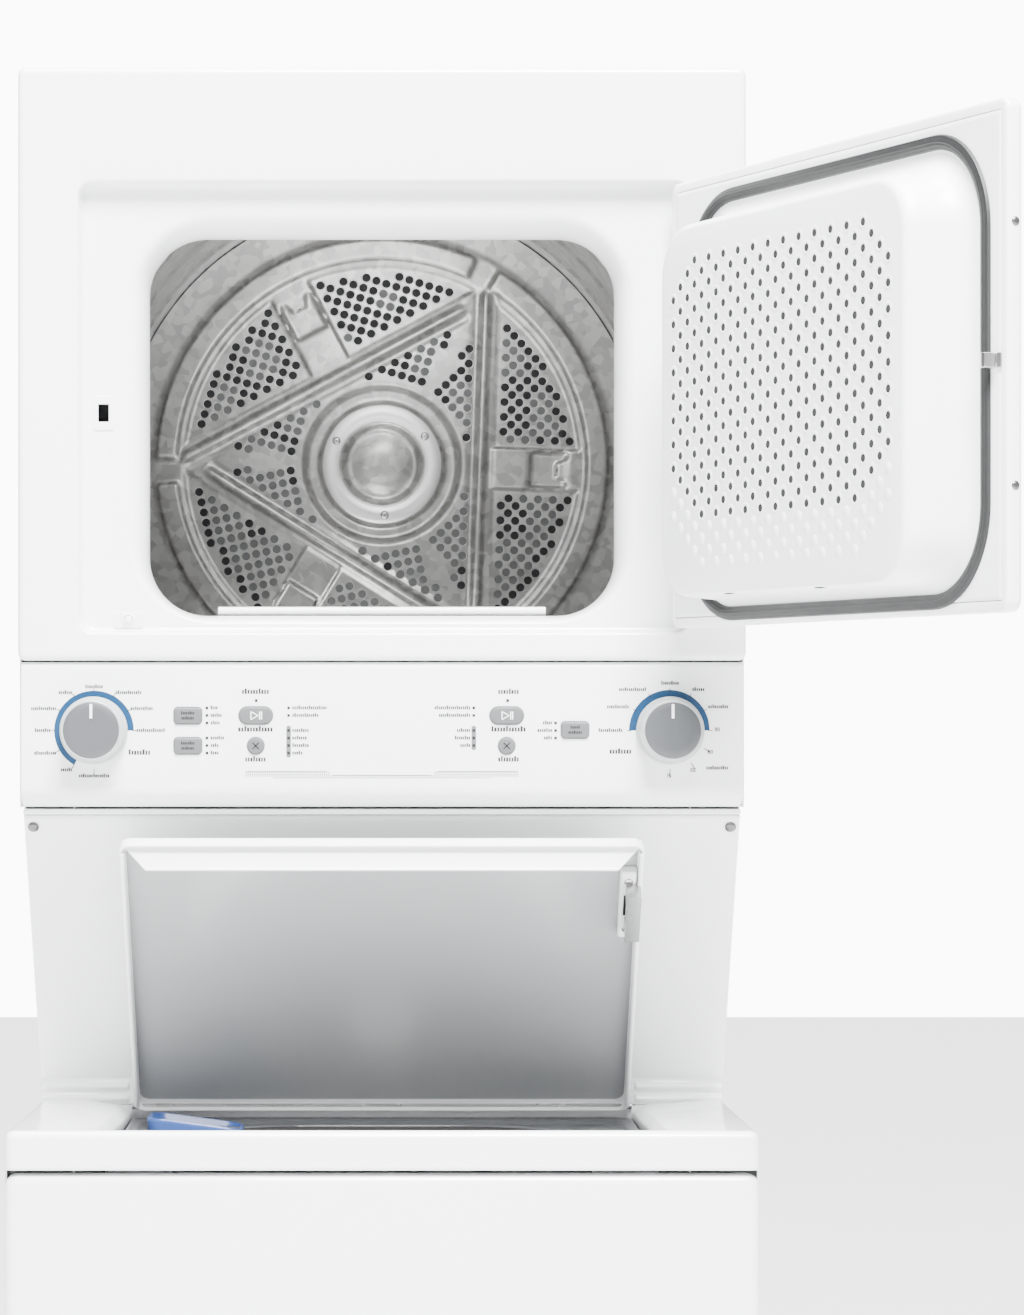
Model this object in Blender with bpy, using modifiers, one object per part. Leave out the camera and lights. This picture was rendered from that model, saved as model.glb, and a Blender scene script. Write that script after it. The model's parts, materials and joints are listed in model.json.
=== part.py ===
"""Stacked laundry centre: a top-loading washer with a tumble dryer above it.

The dryer door stands open on its right-hand hinge and the washer lid stands open
against the console, which is the rest pose of every joint. Metres, +Z up. X runs
across the front, Y runs from the front to the back, and the parts are laid out from
the dryer's face (Y = 0) and then shifted so that the origin lies under the middle
of the whole object.
"""
import math

import bmesh
import bpy
from mathutils import Matrix, Vector

# ---- Driving dimensions ------------------------------------------------------
CABINET_WIDTH = 0.686
OVERALL_HEIGHT = 1.924
CABINET_DEPTH = 0.654          # dryer face to the rear panels' outside
WASHER_PROUD = 0.134           # washer front ahead of the dryer face
WASHER_HEIGHT = 0.936          # floor to the top's front edge
SHEET = 0.0015                 # cabinet sheet
FIT = 0.0003                   # gap left between touching pieces
SEAM = 0.003                   # visible joint between panels

FOOT_HEIGHT = 0.024
FOOT_RADIUS = 0.022
FOOT_INSET = 0.05
BASE_THICKNESS = 0.004

DECK_BAND = 0.036              # height of the top's front edge
DECK_FALL = 0.0135             # the top falls this much toward the back
DECK_EDGE_RADIUS = 0.006
FRONT_EDGE_RADIUS = 0.010
FRONT_RETURN = 0.022           # depth of the dryer face's turned-back flange
WASHER_RETURN = 0.012          # and of the washer's, which stays ahead of the lid well

LID_WIDTH = 0.496
LID_LENGTH = 0.362
LID_THICKNESS = 0.0015
LID_FRONT_FLANGE = 0.026
LID_SIDE_FLANGE = 0.014
LID_OPEN_ANGLE = math.radians(47.0)
LID_HINGE_SETBACK = 0.008      # hinge axis ahead of the sloped panel's foot
LID_HINGE_LIFT = 0.0035        # hinge axis above the deck
HINGE_ROD_RADIUS = 0.003
WELL_CLEARANCE = 0.0035        # around the closed lid
WELL_DEPTH = 0.042
TUB_MOUTH_WIDTH = 0.410
TUB_MOUTH_RADIUS = 0.140

TUB_RADIUS = 0.272
TUB_HEIGHT = 0.560
TUB_TOP_GAP = 0.012            # under the tub cover
TUB_WALL = 0.003
BASKET_GAP = 0.014             # basket to tub, all round
BASKET_MOUTH_RADIUS = 0.205
BASKET_WALL = 0.002
AGITATOR_RADIUS = 0.055
AGITATOR_HEIGHT = 0.430
AGITATOR_BASE_RADIUS = 0.160
TUB_SHAFT_RADIUS = 0.014
GEARCASE_RADIUS = 0.062
GEARCASE_HEIGHT = 0.110
WASHER_PULLEY_RADIUS = 0.070
WASHER_MOTOR_PULLEY_RADIUS = 0.018
WASHER_MOTOR_RADIUS = 0.062
WASHER_MOTOR_OFFSET = 0.190    # motor shaft beside the tub shaft
PULLEY_WIDTH = 0.012
BELT_THICKNESS = 0.003
BELT_GAP = 0.001               # belt to pulley, more than a facet's sag

SLOPE_FOOT_Y = 0.254           # sloped panel's lower edge behind the dryer face
SLOPE_HEAD_Y = 0.062           # and its upper edge
SLOPE_LIFT = 0.012             # lower edge above the deck's front edge
RIB_HEIGHT = 0.010             # each of the two steps below the slope

DRYER_FACE_HEIGHT = 0.5585
DRYER_TOP_HEIGHT = 0.020       # height of the top panel over the sides
CONSOLE_HEIGHT = 0.137
CONSOLE_SETBACK = 0.005
CONSOLE_DEPTH = 0.052
CONSOLE_WALL = 0.003
CONSOLE_CHIN_HEIGHT = 0.020    # bevel along the lower edge
CONSOLE_CHIN_DEPTH = 0.036
CONSOLE_SIDE_GAP = 0.0025

KNOB_X = 0.2715
KNOB_DROP = 0.0645             # below the console's top edge
KNOB_SKIRT_RADIUS = 0.032
KNOB_GRIP_RADIUS = 0.0265
KNOB_HEIGHT = 0.040
KNOB_SHAFT_RADIUS = 0.004
BUTTON_TRAVEL = 0.0015
BUTTON_PROUD = 0.0028
BUTTON_LENGTH = 0.010
BUTTON_CLEARANCE = 0.0006

RECESS_LEFT = 0.286
RECESS_RIGHT = 0.290
RECESS_LOW = 0.0265            # above the dryer face's lower edge
RECESS_HIGH = 0.451
RECESS_DEPTH = 0.020
RECESS_RADIUS = 0.012
FLARE_WIDTH = 0.486
FLARE_LOW = 0.0345
FLARE_HIGH = 0.4265
FLARE_RADIUS = 0.085
MOUTH_WIDTH = 0.444
MOUTH_LOW = 0.0435
MOUTH_HIGH = 0.4035
MOUTH_RADIUS = 0.055
MOUTH_DEPTH = 0.060

DOOR_CLEARANCE = 0.0035        # around the closed door
DOOR_HINGE_CLEARANCE = 0.002
DOOR_THICKNESS = 0.0155
DOOR_SKIN = 0.0012
DOOR_EDGE_RADIUS = 0.005
DOOR_OPEN_ANGLE = math.radians(114.3)
DOOR_PIVOT_INSET = 0.0025
DOOR_PIVOT_DEPTH = 0.002
BULGE_CLEARANCE = 0.012        # bulge to the drum mouth
BULGE_LOW = 0.0560
BULGE_HIGH = 0.3835
BULGE_DEPTH = 0.052
BULGE_RADIUS = 0.045
BULGE_DRAFT = 0.027
GASKET_WIDTH = 0.013
GASKET_THICKNESS = 0.0032

DRUM_RADIUS = 0.282
DRUM_AXIS_HEIGHT = 0.2185      # above the dryer face's lower edge
DRUM_START = 0.086
DRUM_DEPTH = 0.430
DRUM_WALL = 0.0012
DRUM_HUB_RADIUS = 0.084
DRUM_SHAFT_RADIUS = 0.011
BELT_PLANE = 0.400
BELT_WIDTH = 0.008
DRYER_PULLEY_RADIUS = 0.014
DRYER_MOTOR_RADIUS = 0.058
MOTOR_SIDE = 0.262             # motor shaft beside the drum axis
MOTOR_DROP = 0.272             # and below it
BLOWER_RADIUS = 0.060
BLOWER_WIDTH = 0.055
HOUSING_WALL = 0.002
EXHAUST_RADIUS = 0.0508
EXHAUST_STUB = 0.008
DOOR_SWITCH_PROUD = 0.0038     # plunger out of the recess floor
FILTER_WIDTH = 0.314
FILTER_BLADE_HEIGHT = 0.030
FILTER_TRAVEL = 0.050

# ---- Levels and lines worked out from them -----------------------------------
HALF = CABINET_WIDTH / 2
WASHER_FRONT = -WASHER_PROUD
REAR = CABINET_DEPTH
BASE_Z = FOOT_HEIGHT + FIT
BASE_TOP = BASE_Z + BASE_THICKNESS
DECK_UNDER = WASHER_HEIGHT - DECK_BAND
DECK_BACK_Z = WASHER_HEIGHT - DECK_FALL
PANEL_TOP = DECK_UNDER - SEAM
SLOPE_FOOT_Z = WASHER_HEIGHT + SLOPE_LIFT
DRYER_Z = OVERALL_HEIGHT - DRYER_FACE_HEIGHT
TOP_UNDER = OVERALL_HEIGHT - DRYER_TOP_HEIGHT
CONSOLE_TOP = DRYER_Z - SHEET
CONSOLE_BOTTOM = CONSOLE_TOP - CONSOLE_HEIGHT
SLOPE_HEAD_Z = CONSOLE_BOTTOM - 0.009
KNOB_Z = CONSOLE_TOP - KNOB_DROP
DRUM_Z = DRYER_Z + DRUM_AXIS_HEIGHT
DRUM_END = DRUM_START + DRUM_DEPTH
BULKHEAD_Y = MOUTH_DEPTH + SHEET + FIT

DECK_SLOPE = math.atan2(DECK_FALL, SLOPE_FOOT_Y - WASHER_FRONT)
LID_HINGE_Y = SLOPE_FOOT_Y - LID_HINGE_SETBACK
LID_HINGE_Z = DECK_BACK_Z + LID_HINGE_LIFT
WELL_FRONT = LID_HINGE_Y - LID_LENGTH - WELL_CLEARANCE
WELL_BACK = SLOPE_FOOT_Y - SHEET
WELL_HALF = LID_WIDTH / 2 + WELL_CLEARANCE
WELL_FLOOR = DECK_BACK_Z - WELL_DEPTH
TUB_Y = WASHER_FRONT + TUB_RADIUS + 0.022
TUB_TOP = WELL_FLOOR - SHEET - TUB_TOP_GAP
TUB_BOTTOM = TUB_TOP - TUB_HEIGHT

DOOR_RIGHT = RECESS_RIGHT - DOOR_HINGE_CLEARANCE
DOOR_LEFT = -RECESS_LEFT + DOOR_CLEARANCE * 1.7
DOOR_LOW = DRYER_Z + RECESS_LOW + DOOR_CLEARANCE
DOOR_HIGH = DRYER_Z + RECESS_HIGH - DOOR_CLEARANCE
DOOR_PIVOT = Vector((DOOR_RIGHT - DOOR_PIVOT_INSET, DOOR_PIVOT_DEPTH, 0))

DOOR_SPAN = DOOR_RIGHT - DOOR_LEFT
DOOR_TIP_X = DOOR_PIVOT.x - DOOR_SPAN * math.cos(DOOR_OPEN_ANGLE)
DOOR_TIP_Y = DOOR_PIVOT.y - DOOR_SPAN * math.sin(DOOR_OPEN_ANGLE)
ORIGIN_SHIFT = Vector((-(DOOR_TIP_X - HALF) / 2, -(REAR + EXHAUST_STUB + DOOR_TIP_Y) / 2, 0))


# ---- Helpers -----------------------------------------------------------------
def clear_scene():
    """Remove whatever the opened file holds."""
    for obj in list(bpy.data.objects):
        bpy.data.objects.remove(obj, do_unlink=True)


def new_collection(name):
    coll = bpy.data.collections.new(name)
    bpy.context.scene.collection.children.link(coll)
    return coll


clear_scene()
PARTS = new_collection("laundry_centre")
CUTTERS = new_collection("laundry_centre_cutters")
MATERIALS = {}


def finish(name, colour, roughness, metallic=0.0):
    """A Principled material, made once for each name."""
    if name not in MATERIALS:
        mat = bpy.data.materials.new(name)
        mat.use_nodes = True
        shader = mat.node_tree.nodes["Principled BSDF"]
        shader.inputs["Base Color"].default_value = (*colour, 1)
        shader.inputs["Roughness"].default_value = roughness
        shader.inputs["Metallic"].default_value = metallic
        MATERIALS[name] = mat
    return MATERIALS[name]


WHITE = finish("white_enamel", (0.86, 0.87, 0.87), 0.25)
PLASTIC = finish("white_plastic", (0.84, 0.85, 0.85), 0.4)
GREY = finish("grey_plastic", (0.40, 0.43, 0.46), 0.4)
ZINC = finish("galvanised_steel", (0.42, 0.42, 0.42), 0.4, 0.9)
STEEL = finish("bright_steel", (0.60, 0.60, 0.60), 0.3, 1.0)
RUBBER = finish("black_rubber", (0.03, 0.03, 0.03), 0.8)
GASKET = finish("gasket_rubber", (0.11, 0.11, 0.12), 0.7)
BLUE = finish("blue_plastic", (0.30, 0.45, 0.80), 0.45)
BOARD = finish("circuit_board", (0.04, 0.20, 0.08), 0.6)
DARK = finish("motor_paint", (0.10, 0.10, 0.11), 0.5, 0.3)


def add_object(name, mesh, mat, coll=None):
    obj = bpy.data.objects.new(name, mesh)
    (coll or PARTS).objects.link(obj)
    if mat:
        mesh.materials.append(mat)
    return obj


def box_mesh(name, x, y, z):
    """A box mesh between two corners, given as (low, high) on each axis."""
    bm = bmesh.new()
    bmesh.ops.create_cube(bm, size=1)
    size = Vector((x[1] - x[0], y[1] - y[0], z[1] - z[0]))
    middle = Vector((x[1] + x[0], y[1] + y[0], z[1] + z[0])) / 2
    bm.transform(Matrix.Translation(middle) @ Matrix.Diagonal((*size, 1)))
    mesh = bpy.data.meshes.new(name)
    bm.to_mesh(mesh)
    bm.free()
    return mesh


def round_edges(obj, radius, segments=3, angle=30):
    bevel = obj.modifiers.new("Rounding", "BEVEL")
    bevel.width = radius
    bevel.segments = segments
    bevel.limit_method = "ANGLE"
    bevel.angle_limit = math.radians(angle)
    return obj


def box(name, x, y, z, mat, radius=0.0, segments=2):
    obj = add_object(name, box_mesh(name, x, y, z), mat)
    if radius:
        round_edges(obj, radius, segments)
    return obj


def smooth(mesh, angle=35):
    mesh.shade_smooth()
    mesh.set_sharp_from_angle(angle=math.radians(angle))
    return mesh


AXES = {
    "X": Matrix.Rotation(math.radians(90), 4, "Y"),
    "Y": Matrix.Rotation(math.radians(-90), 4, "X"),
    "Z": Matrix.Identity(4),
}


def cylinder_mesh(name, centre, radius, length, axis="Z", sides=32, top=None):
    """A cylinder, or a cone where top gives the other radius, centred on a point."""
    bm = bmesh.new()
    bmesh.ops.create_cone(bm, cap_ends=True, segments=sides, radius1=radius,
                          radius2=radius if top is None else top, depth=length)
    bm.transform(Matrix.Translation(centre) @ AXES[axis])
    mesh = bpy.data.meshes.new(name)
    bm.to_mesh(mesh)
    bm.free()
    return smooth(mesh)


def cylinder(name, centre, radius, length, axis, mat, sides=32):
    return add_object(name, cylinder_mesh(name, centre, radius, length, axis, sides), mat)


def turned(name, centre, profile, axis, mat, steps=40, ring=False):
    """A profile of (radius, height) turned about an axis through centre.

    The profile runs down its outer side from top to bottom. A ring's profile closes
    on itself; any other starts and ends on the axis.
    """
    mesh = bpy.data.meshes.new(name)
    verts = [(r, 0, h) for r, h in profile]
    edges = [(i, i + 1) for i in range(len(verts) - 1)]
    if ring:
        edges.append((len(verts) - 1, 0))
    mesh.from_pydata(verts, edges, [])
    obj = add_object(name, mesh, mat)
    screw = obj.modifiers.new("Turn", "SCREW")
    screw.axis = "Z"
    screw.steps = steps
    screw.render_steps = steps
    screw.use_merge_vertices = True
    screw.merge_threshold = 0.00001
    screw.use_smooth_shade = True
    baked = bpy.data.meshes.new_from_object(obj.evaluated_get(evaluated_graph()))
    bpy.data.objects.remove(obj, do_unlink=True)
    baked.name = name
    baked.transform(Matrix.Translation(centre) @ AXES[axis])
    return add_object(name, smooth(baked), None if baked.materials else mat)


def evaluated_graph():
    bpy.context.view_layer.update()
    return bpy.context.evaluated_depsgraph_get()


PLANES = {
    "YZ": Matrix(((0, 0, 1, 0), (1, 0, 0, 0), (0, 1, 0, 0), (0, 0, 0, 1))),
    "XZ": Matrix(((1, 0, 0, 0), (0, 0, -1, 0), (0, 1, 0, 0), (0, 0, 0, 1))),
    "XY": Matrix.Identity(4),
}


def prism_mesh(name, loops, thickness, plane, centre=(0, 0, 0)):
    """Flat outlines, the first with the others as holes, given a thickness."""
    curve = bpy.data.curves.new(name, "CURVE")
    curve.dimensions = "2D"
    curve.fill_mode = "BOTH"
    curve.extrude = thickness / 2
    for loop in loops:
        spline = curve.splines.new("POLY")
        spline.points.add(len(loop) - 1)
        for point, (a, b) in zip(spline.points, loop):
            point.co = (a, b, 0, 1)
        spline.use_cyclic_u = True
    obj = bpy.data.objects.new(name, curve)
    PARTS.objects.link(obj)
    mesh = bpy.data.meshes.new_from_object(obj.evaluated_get(evaluated_graph()))
    bpy.data.objects.remove(obj, do_unlink=True)
    bm = bmesh.new()
    bm.from_mesh(mesh)
    bmesh.ops.remove_doubles(bm, verts=bm.verts, dist=0.00001)
    bmesh.ops.dissolve_limit(bm, angle_limit=0.001, verts=bm.verts, edges=bm.edges)
    bm.transform(Matrix.Translation(centre) @ PLANES[plane])
    bmesh.ops.recalc_face_normals(bm, faces=bm.faces)
    bm.to_mesh(mesh)
    bm.free()
    mesh.name = name
    return mesh


def prism(name, loops, thickness, plane, mat, centre=(0, 0, 0)):
    return add_object(name, prism_mesh(name, loops, thickness, plane, centre), mat)


def arc(centre, radius, start, end, steps):
    """Points on an arc, angles in degrees, both ends included."""
    angles = [math.radians(start + (end - start) * i / steps) for i in range(steps + 1)]
    return [(centre[0] + radius * math.cos(a), centre[1] + radius * math.sin(a)) for a in angles]


def rounded(low, high, radius, steps=5):
    """A rectangle between two corners with rounded corners, anticlockwise."""
    radius = min(radius, (high[0] - low[0]) / 2.02, (high[1] - low[1]) / 2.02)
    inner_low = (low[0] + radius, low[1] + radius)
    inner_high = (high[0] - radius, high[1] - radius)
    points = arc((inner_high[0], inner_low[1]), radius, -90, 0, steps)
    points += arc(inner_high, radius, 0, 90, steps)
    points += arc((inner_low[0], inner_high[1]), radius, 90, 180, steps)
    points += arc(inner_low, radius, 180, 270, steps)
    return points


def loft(name, rings, mat, wall=None, close_last=False, close_first=False):
    """Skin between rings of points, thickened inward where a wall is given."""
    count = len(rings[0])
    verts = [tuple(p) for ring in rings for p in ring]
    faces = []
    for r in range(len(rings) - 1):
        for i in range(count):
            j = (i + 1) % count
            faces.append((r * count + i, r * count + j, (r + 1) * count + j, (r + 1) * count + i))
    last = (len(rings) - 1) * count
    if close_last:
        faces.append(tuple(last + i for i in range(count)))
    if close_first:
        faces.append(tuple(reversed(range(count))))
    mesh = bpy.data.meshes.new(name)
    mesh.from_pydata(verts, [], faces)
    obj = add_object(name, smooth(mesh, 30), mat)
    if wall:
        solid = obj.modifiers.new("Wall", "SOLIDIFY")
        solid.thickness = wall
        solid.offset = -1
    return obj


def ring_xz(points, y):
    return [(a, y, b) for a, b in points]


def cutter(name, mesh):
    obj = add_object(name, mesh, None, CUTTERS)
    obj.hide_render = True
    obj.display_type = "WIRE"
    return obj


def combine(obj, mesh, operation="DIFFERENCE", radius=0.0):
    """Cut a shape out of an object, or join one to it; radius rounds that shape's edges."""
    tool = cutter(f"{obj.name}_{operation.lower()}_{len(obj.modifiers)}", mesh)
    if radius:
        round_edges(tool, radius, 3, 40)
    boolean = obj.modifiers.new("Shape", "BOOLEAN")
    boolean.operation = operation
    boolean.solver = "EXACT"
    boolean.object = tool
    return obj


def ride(pivot, objects):
    """Hang objects, and the shapes that cut them, on a pivot empty."""
    for obj in objects:
        tools = [m.object for m in obj.modifiers if m.type == "BOOLEAN"]
        for each in [obj, *tools]:
            each.parent = pivot
            each.location = -pivot.location


def pivot(name, location, rotation=(0, 0, 0)):
    empty = bpy.data.objects.new(name, None)
    PARTS.objects.link(empty)
    empty.location = location
    empty.rotation_euler = rotation
    empty.empty_display_size = 0.05
    return empty


# ---- Washer ------------------------------------------------------------------
def washer_cabinet():
    box("washer_base", (-HALF + SHEET + FIT, HALF - SHEET - FIT),
        (WASHER_FRONT + WASHER_RETURN + FIT, REAR - SHEET - FIT), (BASE_Z, BASE_TOP), ZINC, 0.001)
    for side in (-1, 1):
        for row, y in (("front", WASHER_FRONT + WASHER_RETURN + FOOT_INSET), ("rear", REAR - FOOT_INSET)):
            word = "left" if side < 0 else "right"
            profile = [(0, FOOT_HEIGHT), (0.008, FOOT_HEIGHT), (0.008, 0.012), (FOOT_RADIUS * 0.8, 0.010),
                       (FOOT_RADIUS, 0.004), (FOOT_RADIUS, 0), (0, 0)]
            turned(f"leveling_foot_{row}_{word}", (side * (HALF - FOOT_INSET), y, 0), profile, "Z",
                   RUBBER, 20)
        word = "left" if side < 0 else "right"
        outer = sorted((side * HALF, side * (HALF - SHEET)))
        box(f"washer_side_{word}", outer, (WASHER_FRONT + WASHER_RETURN + FIT, REAR),
            (BASE_Z, DECK_UNDER - FIT), WHITE)
    box("washer_rear_panel", (-HALF + SHEET + FIT, HALF - SHEET - FIT), (REAR - SHEET, REAR),
        (BASE_Z, DECK_UNDER - FIT), ZINC)


def front_pan(name, low, high, y_front, depth, wall, edge, mat):
    """A panel with rounded outer edges and flanges turned back all round."""
    steps = 3
    rings = [ring_xz(rounded(low, high, edge, 3), y_front + depth)]
    for i in range(steps + 1):
        turn = math.radians(90 * i / steps)
        inset = edge * (1 - math.cos(turn))
        level = y_front + edge * (1 - math.sin(turn))
        a = (low[0] + inset, low[1] + inset)
        b = (high[0] - inset, high[1] - inset)
        rings.append(ring_xz(rounded(a, b, edge * (1.1 - 0.2 * i / steps), 3), level))
    return loft(name, rings, mat, wall, close_last=True)


def washer_front():
    front_pan("washer_front_panel", (-HALF, BASE_Z), (HALF, PANEL_TOP), WASHER_FRONT, WASHER_RETURN,
              SHEET, FRONT_EDGE_RADIUS, WHITE)


def deck_profile(inset, skirt):
    """The top's cross-section: front band, falling deck, level rear part."""
    front = WASHER_FRONT + inset
    back = REAR - inset
    low = DECK_UNDER - skirt
    return [(front, low), (back, low), (back, DECK_BACK_Z - inset),
            (SLOPE_FOOT_Y, DECK_BACK_Z - inset), (front, WASHER_HEIGHT - inset)]


def washer_top():
    spare = 2 * DECK_EDGE_RADIUS
    deck = prism("washer_top", [deck_profile(0, spare)], CABINET_WIDTH, "YZ", WHITE)
    round_edges(deck, DECK_EDGE_RADIUS, 3, 40)
    combine(deck, prism_mesh("deck_hollow", [deck_profile(SHEET, 2 * spare)], CABINET_WIDTH - 2 * SHEET,
                             "YZ"),
            radius=DECK_EDGE_RADIUS - SHEET)
    combine(deck, box_mesh("deck_skirt", (-CABINET_WIDTH, CABINET_WIDTH), (2 * WASHER_FRONT, 2 * REAR),
                           (DECK_UNDER - 2 * spare, DECK_UNDER)))
    combine(deck, box_mesh("deck_well", (-WELL_HALF, WELL_HALF), (WELL_FRONT, WELL_BACK),
                           (DECK_UNDER - 0.02, WASHER_HEIGHT + 0.02)))


def tub_cover():
    """The stepped well under the lid, with the mouth of the tub in its floor."""
    outline_low = (-WELL_HALF + FIT, WELL_FRONT + FIT)
    outline_high = (WELL_HALF - FIT, WELL_BACK - FIT)
    step = 0.012
    top = DECK_BACK_Z - SHEET - 0.004
    tray = box("tub_cover", (outline_low[0], outline_high[0]), (outline_low[1], outline_high[1]),
               (WELL_FLOOR - SHEET, top), GREY)
    inner = ((outline_low[0] + SHEET, outline_high[0] - SHEET),
             (outline_low[1] + SHEET, outline_high[1] - SHEET))
    combine(tray, box_mesh("well_space", inner[0], inner[1], (WELL_FLOOR + WELL_DEPTH * 0.45, top + 0.01)))
    combine(tray, box_mesh("well_step", (inner[0][0] + step, inner[0][1] - step),
                           (inner[1][0] + step, inner[1][1] - step), (WELL_FLOOR, top)))
    mouth = rounded((-TUB_MOUTH_WIDTH / 2, WELL_FRONT + 0.022), (TUB_MOUTH_WIDTH / 2, WELL_BACK - 0.022),
                    TUB_MOUTH_RADIUS, 8)
    combine(tray, prism_mesh("tub_mouth", [mouth], WELL_DEPTH * 2, "XY", (0, 0, WELL_FLOOR)))


def bleach_dispenser():
    low = (-WELL_HALF + 0.020, WELL_BACK - 0.090)
    size = (0.094, 0.066)
    box("bleach_dispenser", (low[0], low[0] + size[0]), (low[1], low[1] + size[1]),
        (WELL_FLOOR + FIT, DECK_BACK_Z - 0.004), BLUE, 0.006, 3)
    funnel = cylinder_mesh("funnel", (low[0] + size[0] / 2, low[1] + size[1] / 2, DECK_BACK_Z - 0.014),
                           0.014, 0.030, "Z", 24, 0.026)
    combine(PARTS.objects["bleach_dispenser"], funnel)


def washer_lid():
    """The lid in its closed place: a sheet with flanges turned down on three sides."""
    half = LID_WIDTH / 2
    front = LID_HINGE_Y - LID_LENGTH
    back = LID_HINGE_Y + LID_HINGE_SETBACK * 0.4
    top = LID_HINGE_Z + LID_HINGE_LIFT
    rise = math.tan(DECK_SLOPE)
    side = [(back, top - LID_SIDE_FLANGE), (back, top), (front, top + (back - front) * rise),
            (front, top + (back - front) * rise - LID_FRONT_FLANGE),
            (front + 0.016, top + (back - front) * rise - LID_FRONT_FLANGE),
            (front + 0.030, top + (back - front - 0.030) * rise - LID_SIDE_FLANGE)]
    lid = prism("washer_lid", [side], LID_WIDTH, "YZ", WHITE)
    lift = LID_FRONT_FLANGE * 2
    space = [(back + 0.02, top - LID_THICKNESS - 0.02 * rise),
             (front + LID_THICKNESS, top + (back - front) * rise - LID_THICKNESS),
             (front + LID_THICKNESS, top + (back - front) * rise - lift), (back + 0.02, top - lift)]
    combine(lid, prism_mesh("lid_space", [space], LID_WIDTH - 2 * LID_THICKNESS, "YZ"))
    combine(lid, cylinder_mesh("rod_hole", (0, LID_HINGE_Y, LID_HINGE_Z - 0.004), HINGE_ROD_RADIUS + FIT,
                               LID_WIDTH + 0.02, "X", 16))
    rod = cylinder("lid_hinge_rod", (0, LID_HINGE_Y, LID_HINGE_Z - 0.004), HINGE_ROD_RADIUS,
                   2 * (WELL_HALF - 2 * FIT), "X", STEEL, 16)
    strike_x = half - LID_THICKNESS - FIT
    strike_y = LID_HINGE_Y - LID_LENGTH * 0.78
    level = top + (back - strike_y) * rise - LID_THICKNESS - FIT
    strike = box("lid_strike", (strike_x - 0.014, strike_x), (strike_y - 0.030, strike_y + 0.030),
                 (level - 0.030, level - 0.001), STEEL)
    combine(strike, box_mesh("strike_slot", (strike_x - 0.02, strike_x - 0.002),
                             (strike_y - 0.012, strike_y + 0.012), (level - 0.022, level - 0.010)))
    hinge = pivot("lid_pivot", (0, LID_HINGE_Y, LID_HINGE_Z - 0.004), (-LID_OPEN_ANGLE, 0, 0))
    ride(hinge, [lid, strike])
    return rod


def cup_profile(radius, wall, height, hole=0.0, lip=0.0):
    """An open cup's closed section for turning, hub hole and inward lip optional."""
    inner = max(radius - lip, 0)
    points = [(radius, height), (radius, 0), (hole, 0), (hole, wall), (radius - wall, wall)]
    points += [(radius - wall, height - wall), (inner, height - wall), (inner, height)] if lip else \
        [(radius - wall, height)]
    return points


def tub_group():
    turned("outer_tub", (0, TUB_Y, TUB_BOTTOM), cup_profile(TUB_RADIUS, TUB_WALL, TUB_HEIGHT,
           TUB_SHAFT_RADIUS + 0.004), "Z", PLASTIC, 40, ring=True)
    basket_z = TUB_BOTTOM + TUB_WALL + BASKET_GAP
    basket_height = TUB_HEIGHT - TUB_WALL - 2 * BASKET_GAP
    basket_radius = TUB_RADIUS - TUB_WALL - BASKET_GAP
    turned("wash_basket", (0, TUB_Y, basket_z),
           cup_profile(basket_radius, BASKET_WALL, basket_height, TUB_SHAFT_RADIUS + 0.002,
                       basket_radius - BASKET_MOUTH_RADIUS), "Z", STEEL, 40, ring=True)
    basket_pivot = pivot("basket_pivot", (0, TUB_Y, basket_z))
    ride(basket_pivot, [PARTS.objects["wash_basket"]])
    agitator(basket_z + BASKET_WALL + 0.004)
    gearcase(basket_z)


def agitator(z):
    """Tapering post on a skirt with four swept vanes."""
    profile = [(0, AGITATOR_HEIGHT), (0.030, AGITATOR_HEIGHT), (0.038, AGITATOR_HEIGHT - 0.015),
               (AGITATOR_RADIUS * 0.8, AGITATOR_HEIGHT * 0.6), (AGITATOR_RADIUS, 0.09),
               (AGITATOR_BASE_RADIUS * 0.7, 0.030), (AGITATOR_BASE_RADIUS, 0.008),
               (AGITATOR_BASE_RADIUS, 0), (0, 0)]
    obj = turned("agitator", (0, TUB_Y, z), profile, "Z", PLASTIC, 28)
    for turn in (0, 90):
        vane = box_mesh("vane", (-AGITATOR_BASE_RADIUS * 0.92, AGITATOR_BASE_RADIUS * 0.92),
                        (-0.004, 0.004), (0.004, 0.110))
        vane.transform(Matrix.Translation((0, TUB_Y, z)) @ Matrix.Rotation(math.radians(turn), 4, "Z"))
        combine(obj, vane, "UNION")
    ride(pivot("agitator_pivot", (0, TUB_Y, z)), [obj])


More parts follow.
